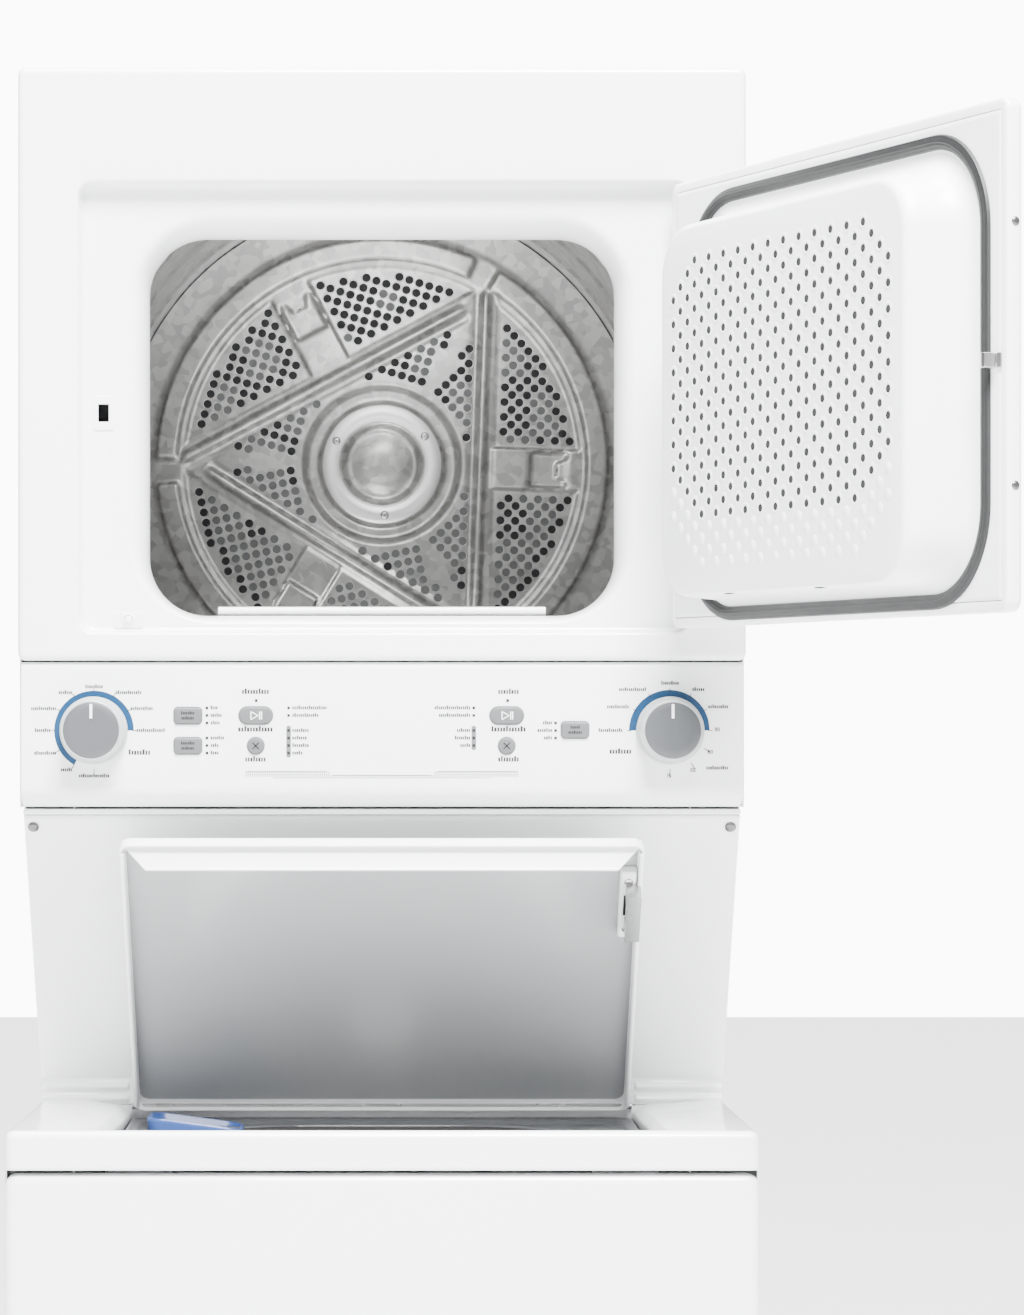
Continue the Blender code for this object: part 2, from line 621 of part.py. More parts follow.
def gearcase(basket_z):
    """Gearcase under the tub, its pulley, the motor, the belt and the drain pump."""
    top = TUB_BOTTOM - FIT
    case = cylinder("gearcase", (0, TUB_Y, top - GEARCASE_HEIGHT / 2), GEARCASE_RADIUS, GEARCASE_HEIGHT,
                    "Z", DARK)
    neck = TUB_WALL + 0.010
    combine(case, cylinder_mesh("neck", (0, TUB_Y, top + neck / 2 - 0.001), TUB_SHAFT_RADIUS, neck,
                                "Z", 24), "UNION")
    pulley_z = top - GEARCASE_HEIGHT - FIT - PULLEY_WIDTH / 2
    motor_x = WASHER_MOTOR_OFFSET
    big = cylinder("washer_drive_pulley", (0, TUB_Y, pulley_z), WASHER_PULLEY_RADIUS, PULLEY_WIDTH, "Z",
                   ZINC)
    small = cylinder("washer_motor_pulley", (motor_x, TUB_Y, pulley_z), WASHER_MOTOR_PULLEY_RADIUS,
                     PULLEY_WIDTH, "Z", STEEL, 24)
    ride(pivot("washer_pulley_pivot", (0, TUB_Y, pulley_z)), [big])
    ride(pivot("washer_motor_pivot", (motor_x, TUB_Y, pulley_z)), [small])
    cylinder("washer_motor", (motor_x, TUB_Y, pulley_z + PULLEY_WIDTH / 2 + FIT + 0.050),
             WASHER_MOTOR_RADIUS, 0.100, "Z", DARK)
    belt = belt_loops(WASHER_PULLEY_RADIUS, WASHER_MOTOR_PULLEY_RADIUS, (0, TUB_Y), (motor_x, TUB_Y), 16)
    prism("washer_belt", belt, PULLEY_WIDTH * 0.8, "XY", RUBBER, (0, 0, pulley_z))
    drain_pump()


def belt_loops(big, small, big_at, small_at, steps):
    """Outer and inner loops of a belt round two pulleys, a small gap off both."""
    across = math.atan2(small_at[1] - big_at[1], small_at[0] - big_at[0])
    apart = math.dist(big_at, small_at)
    lean = math.degrees(math.acos((big - small) / apart))
    turn = math.degrees(across)
    loops = []
    for extra in (BELT_GAP + BELT_THICKNESS, BELT_GAP):
        loop = arc(big_at, big + extra, turn + lean, turn + 360 - lean, steps * 2)
        loop += arc(small_at, small + extra, turn - lean, turn + lean, steps // 2)
        loops.append(loop)
    return loops


def drain_pump():
    x = -HALF + 0.120
    body = cylinder("drain_pump", (x, TUB_Y + 0.150, BASE_TOP + FIT + 0.035), 0.045, 0.070, "Z", PLASTIC,
                    24)
    combine(body, cylinder_mesh("outlet", (x, TUB_Y + 0.210, BASE_TOP + FIT + 0.045), 0.014, 0.080, "Y",
                                16),
            "UNION")


# ---- Upper cabinet -----------------------------------------------------------
def upper_cabinet():
    front = FRONT_RETURN + FIT
    foot = DECK_BACK_Z + FIT
    for side in (-1, 1):
        word = "left" if side < 0 else "right"
        behind = SHEET * 2 + FIT
        outline = [(SLOPE_FOOT_Y + behind, SLOPE_FOOT_Z), (SLOPE_FOOT_Y + behind, foot), (REAR, foot),
                   (REAR, TOP_UNDER - FIT), (front, TOP_UNDER - FIT), (front, CONSOLE_BOTTOM),
                   (SLOPE_HEAD_Y + 2 * behind, CONSOLE_BOTTOM), (SLOPE_HEAD_Y + 2 * behind, SLOPE_HEAD_Z)]
        prism(f"upper_side_{word}", [outline], SHEET, "YZ", WHITE, (side * (HALF - SHEET / 2), 0, 0))
    inner = HALF - SHEET - FIT
    rear = box("upper_rear_panel", (-inner, inner), (REAR - SHEET, REAR),
               (foot, TOP_UNDER - FIT), ZINC)
    combine(rear, cylinder_mesh("vent_hole", (-MOTOR_SIDE, REAR, exhaust_z()), EXHAUST_RADIUS + 0.001,
                                0.02, "Y", 32))
    box("dryer_floor", (-inner, inner), (BULKHEAD_Y + SHEET + FIT, REAR - SHEET - FIT),
                (CONSOLE_BOTTOM - SHEET, CONSOLE_BOTTOM), ZINC)
    top_low = TOP_UNDER
    trim = 0.012
    lid = box("dryer_top", (-HALF, HALF), (FRONT_RETURN + FIT - trim, REAR),
              (top_low - trim, OVERALL_HEIGHT),
              WHITE, 0.006, 3)
    combine(lid, box_mesh("top_space", (-HALF + SHEET, HALF - SHEET), (0, REAR - SHEET),
                          (top_low - 2 * trim, OVERALL_HEIGHT - SHEET)), radius=0.006 - SHEET)
    combine(lid, box_mesh("top_skirt", (-HALF - trim, HALF + trim), (-trim, REAR + trim),
                          (top_low - 2 * trim, top_low)))
    combine(lid, box_mesh("top_front", (-HALF - trim, HALF + trim), (-trim, FRONT_RETURN + FIT),
                          (top_low - 2 * trim, OVERALL_HEIGHT + trim)))


def sloped_panel():
    """The leaning access panel, ending in two small steps above the deck."""
    lean = Vector((SLOPE_FOOT_Y - SLOPE_HEAD_Y, SLOPE_FOOT_Z - SLOPE_HEAD_Z)).normalized()
    normal = Vector((lean.y, -lean.x)) * -SHEET
    foot = DECK_BACK_Z + FIT
    y = SLOPE_FOOT_Y
    outline = [(SLOPE_HEAD_Y, SLOPE_HEAD_Z), (y, SLOPE_FOOT_Z), (y, SLOPE_FOOT_Z - RIB_HEIGHT * 0.4),
               (y - 0.003, SLOPE_FOOT_Z - RIB_HEIGHT * 0.5), (y - 0.003, SLOPE_FOOT_Z - RIB_HEIGHT * 1.2),
               (y - 0.006, SLOPE_FOOT_Z - RIB_HEIGHT * 1.3), (y - 0.006, foot), (y + SHEET * 2, foot),
               (y + SHEET * 2, SLOPE_FOOT_Z), (SLOPE_HEAD_Y + normal.x + SHEET, SLOPE_HEAD_Z + normal.y)]
    panel = prism("sloped_panel", [outline], CABINET_WIDTH, "YZ", WHITE)
    reach = 0.010
    combine(panel, box_mesh("lid_bay", (-WELL_HALF, WELL_HALF), (y - reach, y),
                            (foot - 0.01, SLOPE_FOOT_Z - RIB_HEIGHT * 0.45)))


def console():
    """Housing for the controls: a face with a receding chin, open at the back."""
    half = HALF - CONSOLE_SIDE_GAP
    back = CONSOLE_SETBACK + CONSOLE_DEPTH

    def section(inset):
        chin = inset * 0.6
        low = CONSOLE_BOTTOM + inset
        return [(CONSOLE_SETBACK + CONSOLE_CHIN_DEPTH + chin * 0.2, low), (back, low),
                (back, CONSOLE_TOP - inset),
                (CONSOLE_SETBACK + inset, CONSOLE_TOP - inset),
                (CONSOLE_SETBACK + inset, CONSOLE_BOTTOM + CONSOLE_CHIN_HEIGHT + chin)]

    panel = prism("console_panel", [section(0)], 2 * half, "YZ", WHITE)
    round_edges(panel, 0.0025, 2, 25)
    space = [(a + (0.01 if i in (1, 2) else 0), b) for i, (a, b) in enumerate(section(CONSOLE_WALL))]
    combine(panel, prism_mesh("console_space", [space], 2 * (half - CONSOLE_WALL), "YZ"))
    for side in (-1, 1):
        knob(side, panel)
    for name, x, drop, shape in BUTTONS:
        button(name, x, CONSOLE_TOP - drop, shape, panel)
    box("control_board", (-half + 0.020, half - 0.020),
        (CONSOLE_SETBACK + 0.026, CONSOLE_SETBACK + 0.028),
        (CONSOLE_BOTTOM + 0.036, CONSOLE_TOP - 0.020), BOARD)


# Each button: name, place across, drop below the console's top, (width, height, corner).
TEMP_KEY = (0.0254, 0.0147, 0.002)
START_KEY = (0.031, 0.0155, 0.0077)
ROUND_KEY = (0.015, 0.015, 0.0074)
BUTTONS = [
    ("wash_temp_button", -0.183, 0.0506, TEMP_KEY),
    ("water_level_button", -0.183, 0.0790, TEMP_KEY),
    ("washer_start_button", -0.119, 0.0504, START_KEY),
    ("washer_cancel_button", -0.119, 0.0790, ROUND_KEY),
    ("dryer_start_button", 0.1176, 0.0504, START_KEY),
    ("dryer_cancel_button", 0.1176, 0.0790, ROUND_KEY),
    ("dry_temp_button", 0.182, 0.0640, TEMP_KEY),
]


def knob(side, panel):
    """Dial knob: a skirt, a tapering grip and a shaft through the console face."""
    name = "washer_cycle_knob" if side < 0 else "dryer_cycle_knob"
    at = Vector((side * KNOB_X, CONSOLE_SETBACK, KNOB_Z))
    shaft = -CONSOLE_WALL - 0.012
    profile = [(0, KNOB_HEIGHT), (KNOB_GRIP_RADIUS - 0.003, KNOB_HEIGHT),
               (KNOB_GRIP_RADIUS, KNOB_HEIGHT - 0.003),
               (KNOB_GRIP_RADIUS + 0.001, 0.012), (KNOB_SKIRT_RADIUS, 0.006), (KNOB_SKIRT_RADIUS, 0.001),
               (KNOB_SHAFT_RADIUS, 0.001), (KNOB_SHAFT_RADIUS, shaft), (0, shaft)]
    obj = turned(name, (0, 0, 0), profile, "Z", GREY, 36)
    obj.data.transform(Matrix.Translation(at) @ Matrix.Rotation(math.radians(90), 4, "X"))
    combine(panel, cylinder_mesh(f"{name}_hole", at, KNOB_SHAFT_RADIUS + 0.0005, 0.02, "Y", 20))
    ride(pivot(f"{name}_pivot", at), [obj])


def button(name, x, z, shape, panel):
    """A push button in its own hole in the console face."""
    width, height, corner = shape
    low = (-width / 2, -height / 2)
    high = (width / 2, height / 2)
    middle = CONSOLE_SETBACK - BUTTON_PROUD + BUTTON_LENGTH / 2
    key = prism(name, [rounded(low, high, corner, 4)], BUTTON_LENGTH, "XZ", GREY, (0, 0, 0))
    key.data.transform(Matrix.Translation((x, middle, z)))
    c = BUTTON_CLEARANCE
    hole = prism_mesh(f"{name}_hole", [rounded((low[0] - c, low[1] - c), (high[0] + c, high[1] + c),
                                               corner + c, 4)], 0.02, "XZ")
    hole.transform(Matrix.Translation((x, CONSOLE_SETBACK, z)))
    combine(panel, hole)
    ride(pivot(f"{name}_pivot", (x, middle, z)), [key])


# ---- Dryer -------------------------------------------------------------------
def mouth_outline(grow=0.0):
    return rounded((-MOUTH_WIDTH / 2 - grow, DRYER_Z + MOUTH_LOW - grow),
                   (MOUTH_WIDTH / 2 + grow, DRYER_Z + MOUTH_HIGH + grow), MOUTH_RADIUS + grow, 5)


def dryer_front():
    """Face, door recess and the flared mouth, one pressing."""
    edge = FRONT_EDGE_RADIUS * 0.7
    low = (-HALF, DRYER_Z)
    high = (HALF, OVERALL_HEIGHT)
    rings = [ring_xz(rounded(low, high, edge, 5), FRONT_RETURN)]
    for i in range(4):
        turn = math.radians(90 * i / 3)
        inset = edge * (1 - math.cos(turn))
        rings.append(ring_xz(rounded((low[0] + inset, low[1] + inset), (high[0] - inset, high[1] - inset),
                                     edge * (1 - 0.2 * i / 3), 5), edge * (1 - math.sin(turn))))
    recess_low = (-RECESS_LEFT, DRYER_Z + RECESS_LOW)
    recess_high = (RECESS_RIGHT, DRYER_Z + RECESS_HIGH)
    for grow, y in ((0.0015, 0.0), (0.0, 0.0015), (-0.0005, RECESS_DEPTH - 0.001), (-0.0015, RECESS_DEPTH)):
        rings.append(ring_xz(rounded((recess_low[0] - grow, recess_low[1] - grow),
                                     (recess_high[0] + grow, recess_high[1] + grow),
                                     RECESS_RADIUS + grow, 5), y))
    flare_low = Vector((-FLARE_WIDTH / 2, DRYER_Z + FLARE_LOW))
    flare_high = Vector((FLARE_WIDTH / 2, DRYER_Z + FLARE_HIGH))
    mouth_low = Vector((-MOUTH_WIDTH / 2, DRYER_Z + MOUTH_LOW))
    mouth_high = Vector((MOUTH_WIDTH / 2, DRYER_Z + MOUTH_HIGH))
    steps = 5
    for i in range(steps + 1):
        turn = math.radians(90 * i / steps)
        across = math.sin(turn)
        inward = 1 - math.cos(turn)
        rings.append(ring_xz(rounded(flare_low.lerp(mouth_low, across), flare_high.lerp(mouth_high, across),
                                     FLARE_RADIUS + (MOUTH_RADIUS - FLARE_RADIUS) * across, 5),
                             RECESS_DEPTH + 0.0002 * i + (MOUTH_DEPTH - RECESS_DEPTH - 0.001) * inward))
    panel = loft("dryer_front_panel", rings, WHITE, SHEET)
    latch(panel)
    switch(panel)


def latch(panel):
    """Catch for the door's striker, set in the recess floor."""
    x = -RECESS_LEFT + 0.0225
    z = DRYER_Z + 0.2345
    plate = box("door_latch", (x - 0.008, x + 0.008), (RECESS_DEPTH - 0.0004, RECESS_DEPTH + 0.022),
                (z - 0.013, z + 0.013), PLASTIC, 0.001, 2)
    combine(plate, box_mesh("latch_slot", (x - 0.004, x + 0.004),
                            (RECESS_DEPTH - 0.01, RECESS_DEPTH + 0.016),
                            (z - 0.008, z + 0.008)))
    combine(panel, box_mesh("latch_window", (x - 0.008 - FIT, x + 0.008 + FIT),
                            (RECESS_DEPTH - 0.01, RECESS_DEPTH + 0.03), (z - 0.013 - FIT, z + 0.013 + FIT)))


def switch(panel):
    """Door switch plunger, pushed by the closing door."""
    x = -FLARE_WIDTH / 2 + 0.003
    z = DRYER_Z + 0.0475 - 0.009
    proud = DOOR_SWITCH_PROUD
    plunger = cylinder("door_switch", (x, RECESS_DEPTH - proud + 0.010, z), 0.004, 0.020, "Y", PLASTIC, 16)
    combine(panel, cylinder_mesh("switch_hole", (x, RECESS_DEPTH, z), 0.0045, 0.020, "Y", 16))
    ride(pivot("door_switch_pivot", (x, RECESS_DEPTH, z)), [plunger])


def bulkhead():
    """Inner front plate: the mouth passes through it and the drum runs behind it."""
    inner = HALF - SHEET - FIT
    plate = box("dryer_bulkhead", (-inner, inner), (BULKHEAD_Y, BULKHEAD_Y + SHEET),
                (CONSOLE_BOTTOM - SHEET, TOP_UNDER - FIT), ZINC)
    combine(plate, prism_mesh("mouth_hole", [mouth_outline(SHEET)], 0.02, "XZ", (0, BULKHEAD_Y, 0)))
    half = FILTER_WIDTH / 2
    low = DRYER_Z + MOUTH_LOW - FILTER_BLADE_HEIGHT
    handle_z = DRYER_Z + MOUTH_LOW + 0.001
    y = BULKHEAD_Y + SHEET + 0.002
    blade = box("lint_filter", (-half, half), (y, y + 0.013), (handle_z, handle_z + 0.008), WHITE, 0.002, 2)
    combine(blade, box_mesh("blade", (-half + 0.02, half - 0.02), (y + 0.003, y + 0.006),
                            (low, handle_z + 0.004)),
            "UNION")
    ride(pivot("filter_pivot", (0, y + 0.0065, handle_z)), [blade])


def exhaust_z():
    return DRUM_Z - MOTOR_DROP - 0.010


def drum():
    """Shell, pressed back, and the shaft that carries them."""
    lip = 0.012
    shell = [(DRUM_RADIUS, 0), (DRUM_RADIUS, -DRUM_DEPTH), (DRUM_RADIUS - DRUM_WALL, -DRUM_DEPTH),
             (DRUM_RADIUS - DRUM_WALL, -DRUM_WALL), (DRUM_RADIUS - lip, -DRUM_WALL), (DRUM_RADIUS - lip, 0)]
    # Turned about Z with its mouth up, then laid so that the mouth faces the front.
    face_front = Matrix.Rotation(math.radians(90), 4, "X")
    parts = [turned("drum_shell", (0, 0, 0), shell, "Z", ZINC, 48, ring=True)]
    parts[0].data.transform(Matrix.Translation((0, DRUM_START, DRUM_Z)) @ face_front)
    rim = DRUM_RADIUS - DRUM_WALL - FIT
    ring_out = DRUM_RADIUS - 0.042
    ring_in = DRUM_RADIUS - 0.063
    back = [(0, 0.004), (0.028, 0.004), (0.030, 0), (0.044, 0), (0.047, 0.009), (0.063, 0.009),
            (0.070, 0), (DRUM_HUB_RADIUS, 0), (0.090, 0.008), (ring_in - 0.014, 0.008),
            (ring_in - 0.003, 0.006), (ring_in, 0.012), (ring_out, 0.012), (ring_out + 0.003, 0.006),
            (rim, 0.004), (rim, 0.002), (ring_out + 0.003, 0.003), (ring_out, 0.009), (ring_in, 0.009),
            (ring_in - 0.003, 0.003), (ring_in - 0.014, 0.005), (0.092, 0.005), (0.085, -0.003),
            (0, -0.003)]
    disc = turned("drum_back", (0, 0, 0), back, "Z", ZINC, 48)
    disc.data.transform(Matrix.Translation((0, DRUM_END - 0.014, DRUM_Z)) @ face_front)
    start = DRUM_END - 0.014 + 0.003 + FIT
    parts.append(disc)
    shaft_length = REAR - SHEET - 0.010 - start
    shaft = turned("drum_shaft", (0, 0, 0), [(0, 0), (0.052, 0), (0.052, -0.004),
                                             (DRUM_SHAFT_RADIUS, -0.010),
                   (DRUM_SHAFT_RADIUS, -shaft_length), (0, -shaft_length)], "Z", STEEL, 28)
    shaft.data.transform(Matrix.Translation((0, start, DRUM_Z)) @ face_front)
    parts.append(shaft)
    ride(pivot("drum_pivot", (0, DRUM_START, DRUM_Z)), parts)


def dryer_drive():
    """Motor beside the drum with the belt pulley behind it and the blower ahead."""
    at = (MOTOR_SIDE, DRUM_Z - MOTOR_DROP)
    loops = belt_loops(DRUM_RADIUS, DRYER_PULLEY_RADIUS, (0, DRUM_Z), at, 24)
    prism("drum_belt", loops, BELT_WIDTH, "XZ", RUBBER, (0, BELT_PLANE, 0))
    motor_y = (0.205, BELT_PLANE - BELT_WIDTH - FIT)
    motor_mid = sum(motor_y) / 2
    motor = cylinder("dryer_motor", (at[0], motor_mid, at[1]), DRYER_MOTOR_RADIUS, motor_y[1] - motor_y[0],
                     "Y", DARK, 28)
    combine(motor, box_mesh("motor_foot", (at[0] - 0.040, at[0] + 0.040),
                            (motor_y[0] + 0.01, motor_y[1] - 0.01),
                            (CONSOLE_BOTTOM + FIT, at[1] - DRYER_MOTOR_RADIUS * 0.6)), "UNION")
    pulley_mid = BELT_PLANE + BELT_WIDTH * 0.5
    pulley = cylinder("dryer_motor_pulley", (at[0], pulley_mid - 0.004, at[1]), DRYER_PULLEY_RADIUS,
                      BELT_WIDTH * 2 - FIT, "Y", STEEL, 24)
    front = 0.140
    wheel_y = front + BLOWER_WIDTH / 2
    wheel = blower_wheel((at[0], wheel_y, at[1]))
    blower_housing(at, wheel_y)
    ride(pivot("dryer_motor_pivot", (at[0], BELT_PLANE, at[1])), [pulley, wheel])


def blower_wheel(at):
    """A back disc with flat vanes round it."""
    depth = BLOWER_WIDTH - 4 * HOUSING_WALL - 0.006
    wheel = cylinder("blower_wheel", (at[0], at[1] + depth / 2 - 0.002, at[2]), BLOWER_RADIUS - 0.006,
                     0.004,
                     "Y", PLASTIC, 28)
    for i in range(4):
        vane = box_mesh("vane", (-BLOWER_RADIUS + 0.008, BLOWER_RADIUS - 0.008),
                        (-depth / 2 + 0.002, depth / 2 - 0.001),
                        (-0.0015, 0.0015))
        vane.transform(Matrix.Translation(at) @ Matrix.Rotation(math.radians(45 * i), 4, "Y"))
        combine(wheel, vane, "UNION")
    return wheel


def blower_housing(at, wheel_y):
    """Round scroll with its inlet at the front and a cross duct to the exhaust pipe."""
    half = BLOWER_WIDTH / 2
    low = at[1] - BLOWER_RADIUS - HOUSING_WALL
    body = cylinder("blower_housing", (at[0], wheel_y, at[1]), BLOWER_RADIUS + HOUSING_WALL, 2 * half,
                    "Y", PLASTIC, 32)
    top = DRUM_Z - DRUM_RADIUS - 0.006
    cross = ((-MOTOR_SIDE - EXHAUST_RADIUS, at[0]), (wheel_y - half, wheel_y + half), (low, top))
    combine(body, box_mesh("cross_duct", *cross), "UNION")
    w = HOUSING_WALL
    combine(body, cylinder_mesh("scroll_space", (at[0], wheel_y, at[1]), BLOWER_RADIUS, 2 * (half - w),
                                "Y", 32))
    combine(body, box_mesh("duct_space", (cross[0][0] + w, at[0]), (cross[1][0] + w, cross[1][1] - w),
                           (low + w, top - w)))
    combine(body, cylinder_mesh("inlet", (at[0], wheel_y - half, at[1]), BLOWER_RADIUS * 0.6, 0.02, "Y",
                                28))
    combine(body, cylinder_mesh("outlet", (-MOTOR_SIDE, wheel_y + half, (low + top) / 2),
                                (top - low) * 0.42, 0.02,
                                "Y", 28))
    combine(body, cylinder_mesh("shaft_hole", (at[0], wheel_y + half, at[1]), 0.012, 0.02, "Y", 20))
    start = wheel_y + half + FIT
    pipe = [(EXHAUST_RADIUS, 0), (EXHAUST_RADIUS, start - REAR - EXHAUST_STUB),
            (EXHAUST_RADIUS - w, start - REAR - EXHAUST_STUB), (EXHAUST_RADIUS - w, 0)]
    duct = turned("exhaust_duct", (0, 0, 0), pipe, "Z", ZINC, 32, ring=True)
    duct.data.transform(Matrix.Translation((-MOTOR_SIDE, start, exhaust_z()))
                        @ Matrix.Rotation(math.radians(90), 4, "X"))
    box("heater_housing", (-0.090 - 0.130, -0.090), (DRUM_END + 0.020, DRUM_END + 0.060),
        (DRUM_Z - 0.160, DRUM_Z + 0.200), ZINC, 0.008, 2)


# ---- Dryer door --------------------------------------------------------------
def door():
    """The door in its closed place, hung on its pivot and swung open."""
    low = (DOOR_LEFT, DOOR_LOW)
    high = (DOOR_RIGHT, DOOR_HIGH)
    outer = front_pan("door_outer_panel", low, high, 0.0, DOOR_THICKNESS - DOOR_SKIN - FIT, DOOR_SKIN,
                      DOOR_EDGE_RADIUS, WHITE)
    inner = inner_panel()
    centre = door_gasket()
    striker_x = -RECESS_LEFT + 0.0225
    striker_z = DRYER_Z + 0.2345
    base = DOOR_THICKNESS + FIT
    striker = box("door_striker", (striker_x - 0.0022, striker_x + 0.0022), (base, RECESS_DEPTH + 0.012),
                  (striker_z - 0.005, striker_z + 0.005), STEEL, 0.0005, 1)
    combine(striker, box_mesh("striker_foot", (striker_x - 0.006, striker_x + 0.006), (base, base + 0.0012),
                              (striker_z - 0.0065, striker_z + 0.0065)), "UNION")
    ride(pivot("door_pivot", DOOR_PIVOT, (0, 0, DOOR_OPEN_ANGLE)), [outer, inner, centre, striker])


def bulge_ring(grow, y, radius):
    half = MOUTH_WIDTH / 2 - BULGE_CLEARANCE
    low = (-half - grow, DRYER_Z + BULGE_LOW - grow * 0.25)
    high = (half + grow, DRYER_Z + BULGE_HIGH + grow)
    return [(a, y, b) for a, b in reversed(rounded(low, high, radius, 5))]


def inner_panel():
    """Inner door panel: a flat rim round a bulge that fills the drum's mouth."""
    base = DOOR_THICKNESS
    margin = DOOR_SKIN + 0.004
    rim = [(a, base, b) for a, b in reversed(rounded((DOOR_LEFT + margin, DOOR_LOW + margin),
                                                      (DOOR_RIGHT - margin, DOOR_HIGH - margin), 0.006, 5))]
    rings = [rim, bulge_ring(BULGE_DRAFT, base, BULGE_RADIUS + BULGE_DRAFT)]
    steps = 4
    for i in range(1, steps + 1):
        turn = math.radians(90 * i / steps)
        grow = BULGE_DRAFT * 0.75 * (1 - math.sin(turn)) ** 0.8
        rings.append(bulge_ring(grow - 0.010 * (1 - math.cos(turn)),
                                base + BULGE_DEPTH * (1 - math.cos(turn)),
                                BULGE_RADIUS + grow * 0.4))
    rings.append(bulge_ring(-0.022, base + BULGE_DEPTH + 0.0025, BULGE_RADIUS * 0.8))
    panel = loft("door_inner_panel", rings, PLASTIC, DOOR_SKIN, close_last=True)
    return panel


def door_gasket():
    base = DOOR_THICKNESS + FIT
    low = Vector((-FLARE_WIDTH / 2 - GASKET_WIDTH, DRYER_Z + FLARE_LOW))
    high = Vector((FLARE_WIDTH / 2 + GASKET_WIDTH, DRYER_Z + FLARE_HIGH + 0.004))
    shrink = Vector((GASKET_WIDTH, GASKET_WIDTH))
    loops = [rounded(low, high, FLARE_RADIUS, 8), rounded(low + shrink, high - shrink,
                                                          FLARE_RADIUS - GASKET_WIDTH, 8)]
    return prism("door_gasket", loops, GASKET_THICKNESS, "XZ", GASKET, (0, base + GASKET_THICKNESS / 2, 0))


# ---- Assembly ----------------------------------------------------------------
def assemble():
    """Hang everything that has no parent on one empty under the object's middle."""
    root = bpy.data.objects.new("floor_point", None)
    PARTS.objects.link(root)
    for obj in list(PARTS.objects) + list(CUTTERS.objects):
        if obj is not root and obj.parent is None:
            obj.parent = root
    root.location = ORIGIN_SHIFT


washer_cabinet()
washer_front()
washer_top()
tub_cover()
bleach_dispenser()
washer_lid()
tub_group()
upper_cabinet()
sloped_panel()
console()
dryer_front()
bulkhead()
drum()
dryer_drive()
door()
assemble()
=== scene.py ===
"""Looks of a stacked laundry centre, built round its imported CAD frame."""
import json
import logging
import math
from dataclasses import dataclass
from enum import Enum

import bmesh
import bpy
import numpy as np
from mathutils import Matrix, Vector

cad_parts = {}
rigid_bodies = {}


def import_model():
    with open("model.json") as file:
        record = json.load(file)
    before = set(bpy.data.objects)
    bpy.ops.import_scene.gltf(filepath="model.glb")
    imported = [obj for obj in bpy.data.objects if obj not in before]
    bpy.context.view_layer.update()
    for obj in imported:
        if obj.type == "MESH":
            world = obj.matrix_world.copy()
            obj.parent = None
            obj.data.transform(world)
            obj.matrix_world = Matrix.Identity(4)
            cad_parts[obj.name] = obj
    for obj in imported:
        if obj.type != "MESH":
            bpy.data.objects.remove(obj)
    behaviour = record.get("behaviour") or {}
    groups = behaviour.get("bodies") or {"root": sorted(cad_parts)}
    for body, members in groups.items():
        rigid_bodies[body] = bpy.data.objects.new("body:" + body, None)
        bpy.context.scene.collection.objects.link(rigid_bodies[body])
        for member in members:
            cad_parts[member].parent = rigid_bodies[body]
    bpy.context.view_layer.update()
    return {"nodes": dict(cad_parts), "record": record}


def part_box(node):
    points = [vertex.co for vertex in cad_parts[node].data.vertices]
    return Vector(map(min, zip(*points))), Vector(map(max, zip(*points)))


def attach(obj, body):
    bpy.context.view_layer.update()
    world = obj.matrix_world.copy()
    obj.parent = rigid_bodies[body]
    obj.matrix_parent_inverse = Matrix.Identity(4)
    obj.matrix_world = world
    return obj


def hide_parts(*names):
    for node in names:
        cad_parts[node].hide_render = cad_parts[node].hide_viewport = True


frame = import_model()
LOG = logging.getLogger("laundry_centre")
RECORD = frame["record"]


# ---- Finishes ----------------------------------------------------------------
class Kind(Enum):
    """What a surface is made of, which decides its fine texture."""

    ENAMEL = "enamel"
    MOULDED = "moulded"
    BRUSHED = "brushed"
    SPANGLED = "spangled"
    RUBBER = "rubber"
    PRINT = "print"


